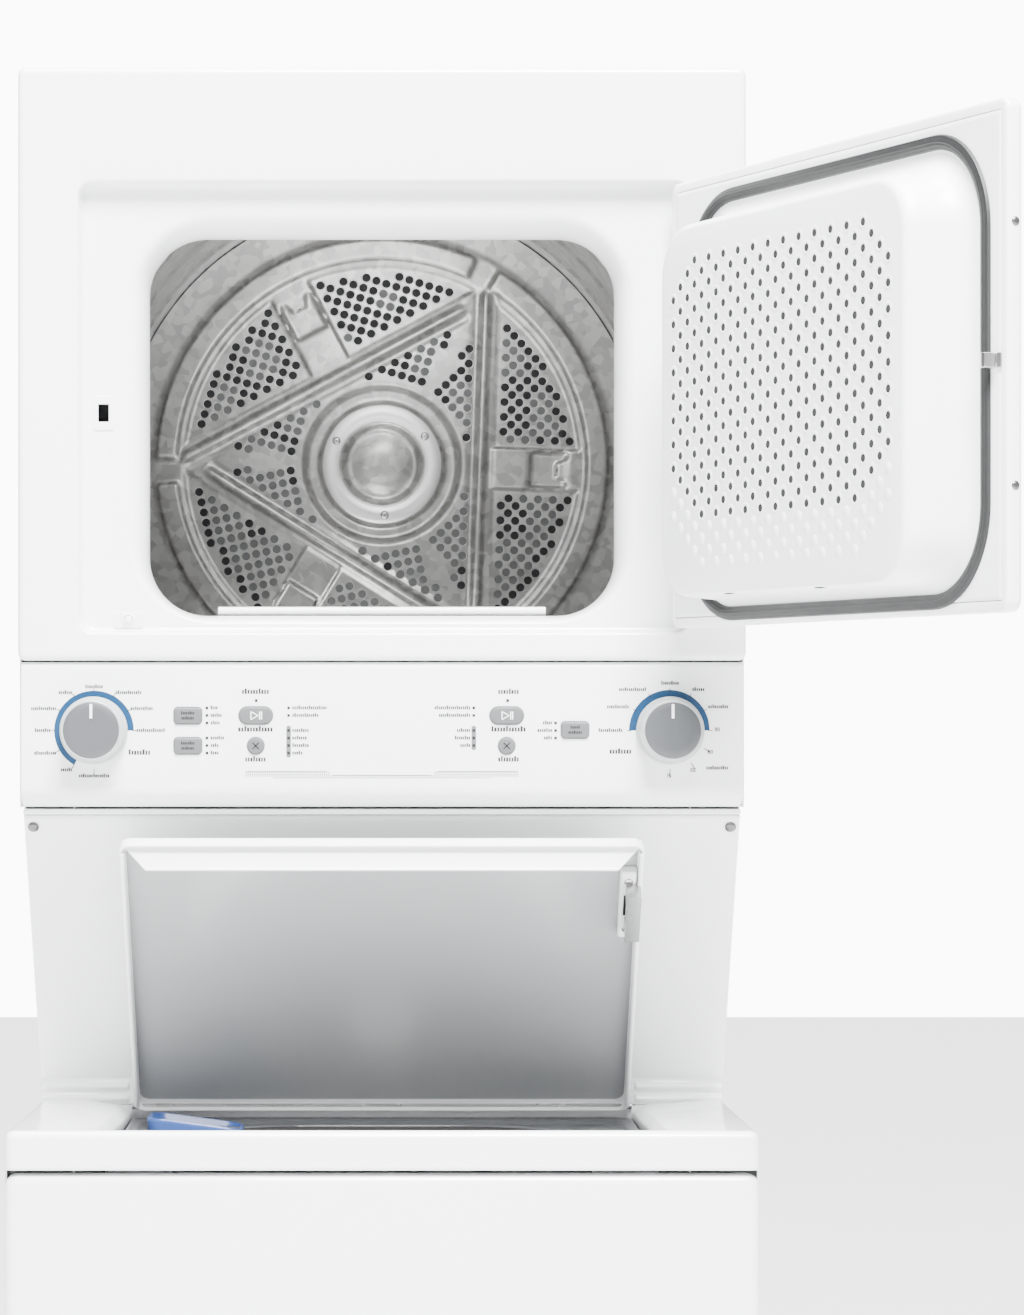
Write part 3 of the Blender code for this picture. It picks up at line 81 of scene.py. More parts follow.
@dataclass(frozen=True)
class Finish:
    """One surface finish: its colour, its gloss and its fine texture."""

    name: str
    slot: str
    colour: tuple[float, float, float]
    rough: float
    kind: Kind
    metallic: float = 0.0
    coat: float = 0.0

    def material(self) -> bpy.types.Material:
        """Make the node material, or return the one made before.

        Returns:
            The finished material.
        """
        made = bpy.data.materials.get(self.name)
        if made:
            return made
        made = bpy.data.materials.new(self.name)
        made.use_nodes = True
        tree = made.node_tree
        shader = tree.nodes["Principled BSDF"]
        shader.inputs["Metallic"].default_value = self.metallic
        shader.inputs["Coat Weight"].default_value = self.coat
        shader.inputs["Coat Roughness"].default_value = 0.06
        coords = tree.nodes.new("ShaderNodeTexCoord")
        mapping = tree.nodes.new("ShaderNodeMapping")
        tree.links.new(coords.outputs["Object"], mapping.inputs["Vector"])
        self._colour(tree, shader, mapping)
        self._roughness(tree, shader, mapping)
        self._relief(tree, shader, mapping)
        made.diffuse_color = (*self.colour, 1.0)
        return made

    def _noise(self, tree: bpy.types.NodeTree, source: bpy.types.Node, scale: float,
               detail: float = 3.0) -> bpy.types.Node:
        """Add a noise texture fed by the mapping node."""
        noise = tree.nodes.new("ShaderNodeTexNoise")
        noise.inputs["Scale"].default_value = scale
        noise.inputs["Detail"].default_value = detail
        tree.links.new(source.outputs["Vector"], noise.inputs["Vector"])
        return noise

    def _colour(self, tree: bpy.types.NodeTree, shader: bpy.types.Node, mapping: bpy.types.Node) -> None:
        """Vary the base colour a little: zinc crystals on galvanised sheet, else slow clouds."""
        ramp = tree.nodes.new("ShaderNodeValToRGB")
        spread = 0.015
        source = self._noise(tree, mapping, 5.0).outputs["Fac"]
        if self.kind is Kind.SPANGLED:
            cells = tree.nodes.new("ShaderNodeTexVoronoi")
            cells.inputs["Scale"].default_value = 110.0
            tree.links.new(mapping.outputs["Vector"], cells.inputs["Vector"])
            source = cells.outputs["Color"]
            spread = 0.16
        elif self.kind in (Kind.RUBBER, Kind.BRUSHED):
            spread = 0.08
        low, high = 1.0 - spread, 1.0 + spread
        ramp.color_ramp.elements[0].position = 0.25
        ramp.color_ramp.elements[1].position = 0.75
        ramp.color_ramp.elements[0].color = (*(min(c * low, 1.0) for c in self.colour), 1)
        ramp.color_ramp.elements[1].color = (*(min(c * high, 1.0) for c in self.colour), 1)
        tree.links.new(source, ramp.inputs["Fac"])
        tree.links.new(ramp.outputs["Color"], shader.inputs["Base Color"])

    def _roughness(self, tree: bpy.types.NodeTree, shader: bpy.types.Node, mapping: bpy.types.Node) -> None:
        """Vary the roughness with handling marks, worn most where the noise is high."""
        noise = self._noise(tree, mapping, 14.0, 5.0)
        span = tree.nodes.new("ShaderNodeMapRange")
        span.inputs["To Min"].default_value = max(self.rough - 0.05, 0.02)
        span.inputs["To Max"].default_value = self.rough + 0.07
        tree.links.new(noise.outputs["Fac"], span.inputs["Value"])
        tree.links.new(span.outputs["Result"], shader.inputs["Roughness"])

    def _relief(self, tree: bpy.types.NodeTree, shader: bpy.types.Node, mapping: bpy.types.Node) -> None:
        """Add the fine relief: orange peel, mould grain, brushing or rubber bloom."""
        scale, strength = {Kind.ENAMEL: (420.0, 0.035), Kind.MOULDED: (1500.0, 0.05),
                           Kind.BRUSHED: (300.0, 0.10), Kind.SPANGLED: (260.0, 0.10),
                           Kind.RUBBER: (900.0, 0.15), Kind.PRINT: (1800.0, 0.02)}[self.kind]
        source = mapping
        if self.kind is Kind.BRUSHED:
            source = tree.nodes.new("ShaderNodeMapping")
            source.inputs["Scale"].default_value = (0.05, 1.0, 1.0)
            tree.links.new(mapping.outputs["Vector"], source.inputs["Vector"])
        noise = self._noise(tree, source, scale, 2.0)
        bump = tree.nodes.new("ShaderNodeBump")
        bump.inputs["Strength"].default_value = strength
        bump.inputs["Distance"].default_value = 0.0006
        tree.links.new(noise.outputs["Fac"], bump.inputs["Height"])
        tree.links.new(bump.outputs["Normal"], shader.inputs["Normal"])


ENAMEL = Finish("gloss_white_enamel", "white_enamel", (0.86, 0.87, 0.87), 0.22, Kind.ENAMEL, coat=0.35)
SATIN = Finish("satin_white_plastic", "white_plastic", (0.84, 0.85, 0.85), 0.34, Kind.MOULDED)
DIAL = Finish("dial_grey", "grey_plastic", (0.058, 0.063, 0.067), 0.42, Kind.MOULDED)
KEY = Finish("key_grey", "grey_plastic", (0.088, 0.092, 0.095), 0.45, Kind.MOULDED)
WELL = Finish("well_grey", "grey_plastic", (0.10, 0.105, 0.112), 0.30, Kind.MOULDED)
INK_BLUE = Finish("printed_blue", "blue_plastic", (0.0, 0.034, 0.098), 0.35, Kind.PRINT)
INK_DARK = Finish("printed_charcoal", "gasket_rubber", (0.004, 0.004, 0.005), 0.5, Kind.PRINT)
ZINC = Finish("galvanised_spangle", "galvanised_steel", (0.20, 0.205, 0.20), 0.36, Kind.SPANGLED, 0.85)
DRUM_ZINC = Finish("drum_galvanised", "galvanised_steel", (0.36, 0.36, 0.355), 0.34, Kind.SPANGLED, 0.8)
STEEL = Finish("bright_brushed_steel", "bright_steel", (0.42, 0.42, 0.42), 0.26, Kind.BRUSHED, 1.0)
RUBBER = Finish("black_rubber_bloom", "black_rubber", (0.025, 0.025, 0.027), 0.75, Kind.RUBBER)
SEAL = Finish("seal_grey_rubber", "gasket_rubber", (0.006, 0.0064, 0.0068), 0.55, Kind.RUBBER)
HOLE = Finish("hole_shadow", "black_rubber", (0.012, 0.012, 0.013), 0.9, Kind.RUBBER)
BLUE = Finish("dispenser_blue", "blue_plastic", (0.04, 0.09, 0.30), 0.32, Kind.MOULDED)
BOARD = Finish("green_circuit_board", "circuit_board", (0.03, 0.16, 0.07), 0.5, Kind.PRINT)
PAINT = Finish("motor_black_paint", "motor_paint", (0.06, 0.06, 0.065), 0.42, Kind.ENAMEL, 0.2)
# Painted half shadow: grey discs in some drum holes, for the half-lit plate seen behind them.
HOLE_GREY = Finish("hole_half_shadow", "gasket_rubber", (0.085, 0.087, 0.088), 0.7, Kind.RUBBER)
STEEL_SATIN = Finish("satin_steel", "bright_steel", (0.70, 0.70, 0.70), 0.38, Kind.BRUSHED, 0.9)
# Painted shade: a grey copy of the white enamel, for the shaded underside of the lid.
LID_SHADE = Finish("lid_underside_painted_shade", "white_enamel", (0.33, 0.34, 0.345), 0.30, Kind.ENAMEL, coat=0.2)
SKIRT = Finish("dial_skirt", "grey_plastic", (0.34, 0.355, 0.362), 0.30, Kind.MOULDED)
INK_GREY = Finish("printed_mid_grey", "gasket_rubber", (0.006, 0.0062, 0.007), 0.5, Kind.PRINT)
SCREW = Finish("screw_steel", "bright_steel", (0.13, 0.13, 0.13), 0.34, Kind.BRUSHED, 0.9)
DOT_GREY = Finish("printed_dot_grey", "grey_plastic", (0.11, 0.115, 0.12), 0.45, Kind.PRINT)
SLOT_FINISH = {finish.slot: finish for finish in
               (DIAL, ENAMEL, SATIN, ZINC, STEEL, RUBBER, SEAL, BLUE, BOARD, PAINT)}


# ---- Mesh tools --------------------------------------------------------------
def quads(rows: int, cols: int, wrap: bool) -> np.ndarray:
    """Faces of a grid of points stored row by row.

    Args:
        rows: number of rows of points.
        cols: number of points in a row.
        wrap: join the last column to the first.

    Returns:
        An (n, 4) array of point indices, each row of faces between two rows of points.
    """
    r, c = np.meshgrid(np.arange(rows - 1), np.arange(cols if wrap else cols - 1), indexing="ij")
    n = (c + 1) % cols
    faces = np.stack([r * cols + c, r * cols + n, (r + 1) * cols + n, (r + 1) * cols + c], axis=-1)
    return faces.reshape(-1, 4)


def mesh_from(name: str, points: np.ndarray, faces: list | np.ndarray) -> bpy.types.Mesh:
    """Put points and faces into a new mesh."""
    mesh = bpy.data.meshes.new(name)
    listed = faces.tolist() if isinstance(faces, np.ndarray) else faces
    mesh.from_pydata(points.reshape(-1, 3).tolist(), [], listed)
    mesh.update()
    return mesh


def piece(name: str, mesh: bpy.types.Mesh, finish: Finish, body: str, angle: float = 35.0,
          replaces: tuple[str, ...] = ()) -> bpy.types.Object:
    """Make a finished, smooth-shaded piece that rides on a body.

    Args:
        name: the piece's name.
        mesh: its mesh, in place.
        finish: its finish.
        body: the body that it rides on.
        angle: edges sharper than this many degrees stay sharp.
        replaces: CAD nodes that the piece stands for.

    Returns:
        The new object.
    """
    obj = bpy.data.objects.new(name, mesh)
    bpy.context.scene.collection.objects.link(obj)
    mesh.materials.clear()
    mesh.materials.append(finish.material())
    mesh.shade_smooth()
    mesh.set_sharp_from_angle(angle=math.radians(angle))
    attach(obj, body)
    if replaces:
        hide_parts(*replaces)
    LOG.info("%s: %d faces on %s", name, len(mesh.polygons), body)
    return obj


def wall(obj: bpy.types.Object, thickness: float, offset: float = -1.0) -> bpy.types.Object:
    """Give an open surface a wall."""
    solid = obj.modifiers.new("Wall", "SOLIDIFY")
    solid.thickness = thickness
    solid.offset = offset
    solid.use_even_offset = False
    return obj


def soften(obj: bpy.types.Object, width: float, segments: int = 3) -> bpy.types.Object:
    """Round an object's sharp edges."""
    bevel = obj.modifiers.new("Edge", "BEVEL")
    bevel.width = width
    bevel.segments = segments
    bevel.limit_method = "ANGLE"
    bevel.angle_limit = math.radians(32)
    bevel.harden_normals = False
    return obj


def rounded_loop(low: tuple[float, float], high: tuple[float, float], radius: float,
                 steps: int = 10) -> np.ndarray:
    """A rectangle whose corners are quarter circles, anticlockwise from its lower right.

    Returns:
        A (4 * (steps + 1), 2) array: each corner's centre plus the radius times (cos, sin).
    """
    radius = min(radius, (high[0] - low[0]) / 2.001, (high[1] - low[1]) / 2.001)
    turn = np.linspace(0, np.pi / 2, steps + 1)
    corners = [((high[0] - radius, low[1] + radius), -np.pi / 2),
               ((high[0] - radius, high[1] - radius), 0.0),
               ((low[0] + radius, high[1] - radius), np.pi / 2),
               ((low[0] + radius, low[1] + radius), np.pi)]
    parts = [np.column_stack([c[0] + radius * np.cos(turn + a), c[1] + radius * np.sin(turn + a)])
             for c, a in corners]
    return np.concatenate(parts)


def at_depth(loop: np.ndarray, depth: float) -> np.ndarray:
    """Stand a flat loop of (x, z) up in the plane y = depth."""
    return np.column_stack([loop[:, 0], np.full(len(loop), depth), loop[:, 1]])


def at_height(loop: np.ndarray, height: float) -> np.ndarray:
    """Lay a flat loop of (x, y) in the plane z = height."""
    return np.column_stack([loop, np.full(len(loop), height)])


def loft(name: str, rings: list[np.ndarray], cap_last: bool = False,
         cap_first: bool = False) -> bpy.types.Mesh:
    """Skin between rings with the same number of points.

    Args:
        name: the mesh's name.
        rings: arrays of points, each ring anticlockwise as seen from outside.
        cap_last: close the last ring with a face.
        cap_first: close the first ring with a face.

    Returns:
        The mesh.
    """
    count = len(rings[0])
    faces = quads(len(rings), count, True).tolist()
    if cap_last:
        faces.append(list(range((len(rings) - 1) * count, len(rings) * count)))
    if cap_first:
        faces.append(list(range(count))[::-1])
    return mesh_from(name, np.concatenate(rings), faces)


def revolve(name: str, profile: np.ndarray, centre: np.ndarray, axis: str, sides: int = 64,
            closed: bool = False) -> bpy.types.Mesh:
    """Turn a profile about an axis through a point.

    Each point (r, h) becomes the circle centre + h along the axis + r (cos t, sin t) across it.

    Args:
        name: the mesh's name.
        profile: (n, 2) radii and heights, from the top down the outer side.
        centre: where height is zero.
        axis: "Z" for up or "Y" for towards the front.
        sides: points in each circle.
        closed: join the profile's ends, for a ring.

    Returns:
        The mesh, with its poles merged.
    """
    t = np.linspace(0, 2 * np.pi, sides, endpoint=False)
    r = np.maximum(profile[:, :1], 0.0)
    h = np.broadcast_to(profile[:, 1:], (len(profile), sides))
    u, v = r * np.cos(t), r * np.sin(t)
    points = np.stack([u, v, h], axis=-1) if axis == "Z" else np.stack([u, -h, v], axis=-1)
    rows = np.concatenate([points, points[:1]]) if closed else points
    faces = quads(len(rows), sides, True)
    mesh = mesh_from(name, rows + centre, faces[:, ::-1])
    weld(mesh)
    return mesh


def weld(mesh: bpy.types.Mesh, distance: float = 0.00001) -> bpy.types.Mesh:
    """Merge doubled points and point every face outwards."""
    bm = bmesh.new()
    bm.from_mesh(mesh)
    bmesh.ops.remove_doubles(bm, verts=bm.verts, dist=distance)
    bmesh.ops.dissolve_degenerate(bm, edges=bm.edges, dist=distance)
    bmesh.ops.recalc_face_normals(bm, faces=bm.faces)
    bm.to_mesh(mesh)
    bm.free()
    return mesh


def extrude_outline(name: str, outline: np.ndarray, low: float, high: float, axis: str) -> bpy.types.Mesh:
    """Carry a closed outline straight between two places on an axis, and cap its ends.

    Args:
        name: the mesh's name.
        outline: (n, 2) points: (y, z) for axis "X", (x, z) for "Y", (x, y) for "Z".
        low: the first place.
        high: the second place.
        axis: the axis it is carried along.

    Returns:
        The closed mesh.
    """
    order = {"X": (2, 0, 1), "Y": (0, 2, 1), "Z": (0, 1, 2)}[axis]
    rings = []
    for place in (low, high):
        flat = np.column_stack([outline, np.full(len(outline), place)])
        rings.append(flat[:, order])
    return weld(loft(name, rings, True, True))


def block(name: str, low: tuple[float, float, float], high: tuple[float, float, float]) -> bpy.types.Mesh:
    """A rectangular block between two corners, to be rounded or joined."""
    outline = np.array([(low[0], low[1]), (high[0], low[1]), (high[0], high[1]), (low[0], high[1])])
    return extrude_outline(name, outline, low[2], high[2], "Z")


def stamp(name: str, unit: bpy.types.Mesh, places: np.ndarray,
          axes: np.ndarray | None = None) -> bpy.types.Mesh:
    """Copy a small mesh to many places, turned to each place's own three axes.

    Args:
        name: the mesh's name.
        unit: the small mesh, about the origin.
        places: (n, 3) positions.
        axes: (n, 3, 3) matrices whose columns are each copy's axes, or None.

    Returns:
        One mesh of all the copies.
    """
    count = len(unit.vertices)
    co = np.empty(count * 3)
    unit.vertices.foreach_get("co", co)
    co = co.reshape(-1, 3)
    turned = np.broadcast_to(co, (len(places), count, 3))
    if axes is not None:
        turned = np.einsum("nij,vj->nvi", axes, co)
    points = turned + places[:, None, :]
    faces = [[v + k * count for v in p.vertices] for k in range(len(places)) for p in unit.polygons]
    return mesh_from(name, points, faces)


def join(name: str, meshes: list[bpy.types.Mesh]) -> bpy.types.Mesh:
    """Put several meshes in one, each staying its own shell."""
    points, faces, start = [], [], 0
    for mesh in meshes:
        co = np.empty(len(mesh.vertices) * 3)
        mesh.vertices.foreach_get("co", co)
        points.append(co.reshape(-1, 3))
        faces += [[v + start for v in p.vertices] for p in mesh.polygons]
        start += len(mesh.vertices)
    return mesh_from(name, np.concatenate(points), faces)


def move_mesh(mesh: bpy.types.Mesh, turn: np.ndarray, centre: np.ndarray) -> bpy.types.Mesh:
    """Turn a mesh about a point by a rotation matrix."""
    co = np.empty(len(mesh.vertices) * 3)
    mesh.vertices.foreach_get("co", co)
    co = (co.reshape(-1, 3) - centre) @ turn.T + centre
    mesh.vertices.foreach_set("co", co.reshape(-1))
    mesh.update()
    return mesh


def rotation(axis: str, angle: float) -> np.ndarray:
    """The right-handed rotation matrix about X or Z by an angle in radians."""
    c, s = math.cos(angle), math.sin(angle)
    if axis == "X":
        return np.array([[1, 0, 0], [0, c, -s], [0, s, c]])
    return np.array([[c, -s, 0], [s, c, 0], [0, 0, 1]])


# ---- Datum lines -------------------------------------------------------------
@dataclass
class Datum:
    """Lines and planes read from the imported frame, all in metres at rest."""

    centre: float = 0.0
    face: float = 0.0
    dryer_low: float = 0.0
    dryer_high: float = 0.0
    half: float = 0.0

    def __post_init__(self) -> None:
        """Read the dryer face's box."""
        low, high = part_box("dryer_front_panel")
        self.centre = (low.x + high.x) / 2
        self.half = (high.x - low.x) / 2
        self.face = low.y
        self.dryer_low = low.z
        self.dryer_high = high.z

    def joint(self, name: str) -> dict:
        """The record's entry for a joint."""
        return next(j for j in RECORD["behaviour"]["joints"] if j["name"] == name)

    def local(self, points: np.ndarray) -> np.ndarray:
        """Shift points given from the cabinet's middle, the dryer face and the floor."""
        return points + np.array([self.centre, self.face, 0.0])


DATUM = Datum()


def place(mesh: bpy.types.Mesh) -> bpy.types.Mesh:
    """Shift a mesh drawn from the cabinet's middle and the dryer's face into the frame."""
    co = np.empty(len(mesh.vertices) * 3)
    mesh.vertices.foreach_get("co", co)
    mesh.vertices.foreach_set("co", DATUM.local(co.reshape(-1, 3)).reshape(-1))
    mesh.update()
    return mesh


def cut(mesh: bpy.types.Mesh, cutters: list[bpy.types.Mesh], thickness: float = 0.0) -> bpy.types.Mesh:
    """Cut blocks out of a mesh, first giving it a wall if it is an open surface.

    Args:
        mesh: the mesh to cut.
        cutters: closed meshes to take away.
        thickness: wall to give the mesh on its inner side, or nothing.

    Returns:
        A new mesh.
    """
    scene = bpy.context.scene.collection.objects
    body = bpy.data.objects.new("uncut", mesh)
    tool = bpy.data.objects.new("tool", join("tool", cutters))
    scene.link(body)
    scene.link(tool)
    if thickness:
        wall(body, thickness)
    change = body.modifiers.new("Cut", "BOOLEAN")
    change.object = tool
    change.solver = "EXACT"
    depsgraph = bpy.context.evaluated_depsgraph_get()
    done = bpy.data.meshes.new_from_object(body.evaluated_get(depsgraph))
    for spare in (body, tool):
        bpy.data.objects.remove(spare)
    return done


def screw_head(radius: float, sides: int = 20) -> bpy.types.Mesh:
    """A pan-head screw with a cross recess, its crown facing the front at the origin.

    The crown falls as a circle does; the recess is four small wedges sunk in it.
    """
    profile = np.array([(0.0, 0.30), (0.30, 0.29), (0.62, 0.22), (0.88, 0.10), (1.0, -0.06), (1.0, -0.30),
                        (0.0, -0.30)]) * radius
    head = revolve("head", profile, np.zeros(3), "Y", sides)
    bars = []
    for long, short in ((0.52, 0.10), (0.10, 0.52)):
        bars.append(block("bar", (-long * radius, -0.34 * radius, -short * radius),
                          (long * radius, -0.285 * radius, short * radius)))
    return join("screw", [head, *bars])


# ---- Drum --------------------------------------------------------------------
@dataclass
class DrumBack:
    """Pressed and perforated back of the drum, with its hub ring.

    Heights are towards the front from the plate's general level.
    """

    ridge_distance: float = 0.105
    ridge_angles: tuple[float, float, float] = (-2.0, 118.0, 238.0)
    ridge_long: float = 0.187
    ridge_short: float = 0.155
    ring: tuple[float, float] = (0.2185, 0.2405)
    ring_gaps: tuple[float, float, float] = (62.0, 182.0, 302.0)
    channel_half: float = 0.019
    hub: float = 0.084
    flange: tuple[float, float] = (0.046, 0.063)
    hole_radius: float = 0.0046
    pitch: float = 0.0079
    rings_count: int = 122
    spokes: int = 504

    def __post_init__(self) -> None:
        """Find the drum's axis and the plate's level in the frame."""
        low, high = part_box("drum_back")
        self.axis = np.array([(low.x + high.x) / 2, high.y - 0.011, (low.z + high.z) / 2])
        self.radius = (high.x - low.x) / 2

    def ridge_frame(self, angle: float, x: np.ndarray, z: np.ndarray) -> tuple[np.ndarray, np.ndarray]:
        """Distance from the axis across a ridge, and the place along it."""
        a = math.radians(angle)
        return x * math.cos(a) + z * math.sin(a), -x * math.sin(a) + z * math.cos(a)

    @staticmethod
    def step(value: np.ndarray, edge: float, width: float) -> np.ndarray:
        """A smooth rise from 0 to 1 across an edge."""
        t = np.clip((value - edge) / width + 0.5, 0.0, 1.0)
        return t * t * (3 - 2 * t)

    def pads(self, x: np.ndarray, z: np.ndarray, margin: float) -> np.ndarray:
        """How far inside the nearest perforated outer pad each point is, up to 1."""
        r = np.hypot(x, z)
        best = np.zeros_like(r)
        for angle in self.ridge_angles:
            u, v = self.ridge_frame(angle, x, z)
            inside = self.step(u, self.ridge_distance + 0.0125 + margin, 0.004)
            inside = inside * self.step(np.abs(v), self.channel_half + 0.003 + margin, 0.005)
            best = np.maximum(best, inside)
        return best * self.step(-r, -(0.2115 - margin), 0.005)

    def height(self, x: np.ndarray, z: np.ndarray) -> np.ndarray:
        """Relief of the pressing at a point: the sum of its ring, ridges, pads and dished hub."""
        r = np.hypot(x, z)
        t = np.degrees(np.arctan2(z, x)) % 360
        h = np.zeros_like(r)
        gap = np.zeros_like(r)
        for angle in self.ring_gaps:
            apart = np.abs((t - angle + 180) % 360 - 180)
            gap = np.maximum(gap, 1 - self.step(apart, 3.2, 1.6))
        band = self.step(r, self.ring[0], 0.005) * self.step(-r, -self.ring[1], 0.004)
        h += 0.0058 * band * (1 - gap)
        h -= 0.0035 * self.step(r, 0.246, 0.008)
        h -= 0.0042 * self.pads(x, z, 0.0)
        for angle in self.ridge_angles:
            u, v = self.ridge_frame(angle, x, z)
            span = self.step(v, -self.ridge_short, 0.012) * self.step(-v, -self.ridge_long, 0.012)
            away = u - self.ridge_distance
            crest = 0.0052 * np.exp(-((away / 0.0042) ** 2))
            valley = 0.0030 * np.exp(-(((away + 0.0095) / 0.0035) ** 2))
            h += span * (crest - valley)
            h -= span * 0.0022 * np.exp(-(((away - 0.0095) / 0.0035) ** 2))
            narrow = self.step(-np.abs(v), -0.0185, 0.006)
            deep = self.step(u, 0.158, 0.006) * self.step(-u, -0.197, 0.010) * narrow
            arms = self.step(-np.abs(v), -(0.006 + 0.30 * np.abs(u - 0.180)), 0.003)
            web = self.step(u, 0.186, 0.004) * arms
            h -= 0.0060 * deep * (1 - 0.75 * web)
        h -= 0.0105 * self.step(-r, -self.hub + 0.002, 0.010) * self.step(r, 0.0655, 0.007)
        dish = 1 - self.step(r, 0.040, 0.012)
        h -= 0.0095 * dish * (1 - 0.80 * np.exp(-((r / 0.030) ** 4)))
        return h

    def plate(self) -> bpy.types.Object:
        """The plate: rings and spokes of points raised by the relief, with a turned rim and a back."""
        radii = np.concatenate([[0.0], np.linspace(0.004, self.radius - 0.001, self.rings_count)])
        turn = np.linspace(0, 2 * np.pi, self.spokes, endpoint=False)
        r, t = np.meshgrid(radii, turn, indexing="ij")
        x, z = r * np.cos(t), r * np.sin(t)
        points = np.stack([x, -self.height(x, z), z], axis=-1)
        back = points[-1:].copy()
        back[..., 1] = 0.004
        points = np.concatenate([points, back])
        faces = quads(len(points), self.spokes, True)
        mesh = weld(mesh_from("drum_back_plate", points + self.axis, faces))
        return piece("drum_back_pressing", mesh, DRUM_ZINC, "drum", 60, ("drum_back",))

    def hole_places(self) -> np.ndarray:
        """Centres of the holes: for each ridge, rows parallel to it, every other row shifted half a pitch."""
        found = []
        i, j = np.meshgrid(np.arange(-14, 15), np.arange(-14, 15), indexing="ij")
        for angle in self.ridge_angles:
            u = self.ridge_distance + self.pitch * i.ravel()
            v = self.pitch * (2 * j.ravel() + i.ravel() % 2)
            r = np.hypot(u, v)
            outer = (u > self.ridge_distance + 0.016) & (np.abs(v) > self.channel_half + 0.0085) & (r < 0.2035)
            inner = (u < self.ridge_distance - 0.010) & (r > self.hub + 0.010) & (r < 0.157)
            bisector = np.abs(np.abs(v) * 0.5 - u * math.sqrt(3) / 2)
            inner &= (u > np.abs(v) / math.sqrt(3)) & (bisector > 0.0085) & (np.abs(v) > 0.008)
            a = math.radians(angle)
            uv = np.column_stack([u, v])[outer | inner]
            x = uv[:, 0] * math.cos(a) - uv[:, 1] * math.sin(a)
            z = uv[:, 0] * math.sin(a) + uv[:, 1] * math.cos(a)
            found.append(np.column_stack([x, z]))
        return np.concatenate(found)

    def holes(self) -> None:
        """Each hole: a rolled rim sunk into a short throat, closed by a disc of painted shadow, dark or grey.
        """
        spots = self.hole_places()
        lift = -self.height(spots[:, 0], spots[:, 1])
        places = np.column_stack([spots[:, 0], lift, spots[:, 1]]) + self.axis
        r = self.hole_radius
        rim = np.array([(r * 1.18, -0.0002), (r * 1.10, 0.0005), (r * 0.98, 0.0004), (r * 0.92, -0.0010)])
        unit = revolve("rim", rim, np.zeros(3), "Y", 12, closed=True)
        piece("drum_hole_rims", stamp("rims", unit, places), DRUM_ZINC, "drum", 60)
        disc = np.column_stack([r * 0.96 * np.cos(np.linspace(0, 2 * np.pi, 12, endpoint=False)),
                                r * 0.96 * np.sin(np.linspace(0, 2 * np.pi, 12, endpoint=False))])
        shade = extrude_outline("disc", disc, -0.0003, 0.0002, "Y")
        # Painted shade: full dark discs in a scattered pattern, more of them higher up and near the rim; the
        # rest get grey.
        fully_shaded = np.sin(spots[:, 0] * 71.0 + 1.3) * np.cos(spots[:, 1] * 53.0) + spots[:, 1] * 4.0 > 0.12
        edge = np.hypot(spots[:, 0], spots[:, 1]) > 0.193
        dark = fully_shaded | edge
        piece("drum_hole_shadows", stamp("dark", shade, places[dark]), HOLE, "drum")
        piece("drum_hole_half_shadows", stamp("grey", shade, places[~dark]), HOLE_GREY, "drum")

    def hub_ring(self) -> None:
        """Bright hub flange with its three screws, and dark discs of painted shadow in the small holes out on
        the channels.
        """
        low, high = self.flange
        profile = np.array([(high, -0.003), (high + 0.0004, 0.0006), (high - 0.0008, 0.0016),
                            (low + 0.0008, 0.0016), (low - 0.0004, 0.0006), (low, -0.003)])
        mesh = revolve("flange", profile[::-1], self.axis, "Y", 96, closed=True)
        piece("drum_hub_flange", mesh, STEEL_SATIN, "drum", 50)
        mid = (low + high) / 2
        turns = np.radians(np.array([33.0, 153.0, 273.0]))
        spots = np.column_stack([mid * np.cos(turns), np.full(3, -0.0022), mid * np.sin(turns)]) + self.axis
        piece("drum_hub_screws", stamp("screws", screw_head(0.0045), spots), STEEL, "drum")
        a = np.radians(np.array(self.ridge_angles))
        far = np.column_stack([0.190 * np.cos(a), np.full(3, 0.003), 0.190 * np.sin(a)]) + self.axis
        dot = revolve("dot", np.array([(0.0, 0.001), (0.0034, 0.001), (0.0034, -0.002), (0.0, -0.002)]),
                      np.zeros(3), "Y", 14)
        # Dark discs: painted shadow in the channel holes.
        piece("drum_channel_holes", stamp("dots", dot, far), HOLE, "drum")

    def build(self) -> None:
        """Build every piece of the back."""
        self.plate()
        self.holes()
        self.hub_ring()


@dataclass
class DrumShell:
    """Rolled drum with a turned-in front lip and two rolled beads."""

    lip: float = 0.012
    wall: float = 0.0012
    bead: float = 0.0035

    def build(self) -> None:
        """Turn the shell's section: radius by depth, with smooth beads round it."""
        low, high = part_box("drum_shell")
        centre = np.array([(low.x + high.x) / 2, low.y, (low.z + high.z) / 2])
        outer = (high.x - low.x) / 2
        depth = high.y - low.y
        run = np.linspace(0.004, depth - 0.002, 90)
        waves = sum(self.bead * np.exp(-(((run - depth * at) / 0.006) ** 2)) for at in (0.22, 0.50, 0.78))
        inner = np.column_stack([outer - self.wall - waves, -run])
        front = np.array([(outer - 0.001, -0.001), (outer - 0.004, 0.0), (outer - self.lip, 0.0),
                          (outer - self.lip - 0.001, -0.001), (outer - self.lip, -0.002),
                          (outer - 0.004, -0.0025)])
        back = np.array([(outer - self.wall, -depth), (outer, -depth)])
        profile = np.concatenate([front, inner, back])
        mesh = revolve("drum_shell_rolled", profile, centre, "Y", 144, closed=True)
        piece("drum_rolled_shell", mesh, DRUM_ZINC, "drum", 50, ("drum_shell",))




# ---- Dryer face --------------------------------------------------------------
def framed(low: tuple[float, float], high: tuple[float, float], radius: float, depth: float,
           inset: float = 0.0, steps: int = 14) -> np.ndarray:
    """A standing rounded rectangle drawn in from its edges by an inset."""
    loop = rounded_loop((low[0] + inset, low[1] + inset), (high[0] - inset, high[1] - inset),
                        max(radius - inset, 0.0005), steps)
    return at_depth(loop, depth)


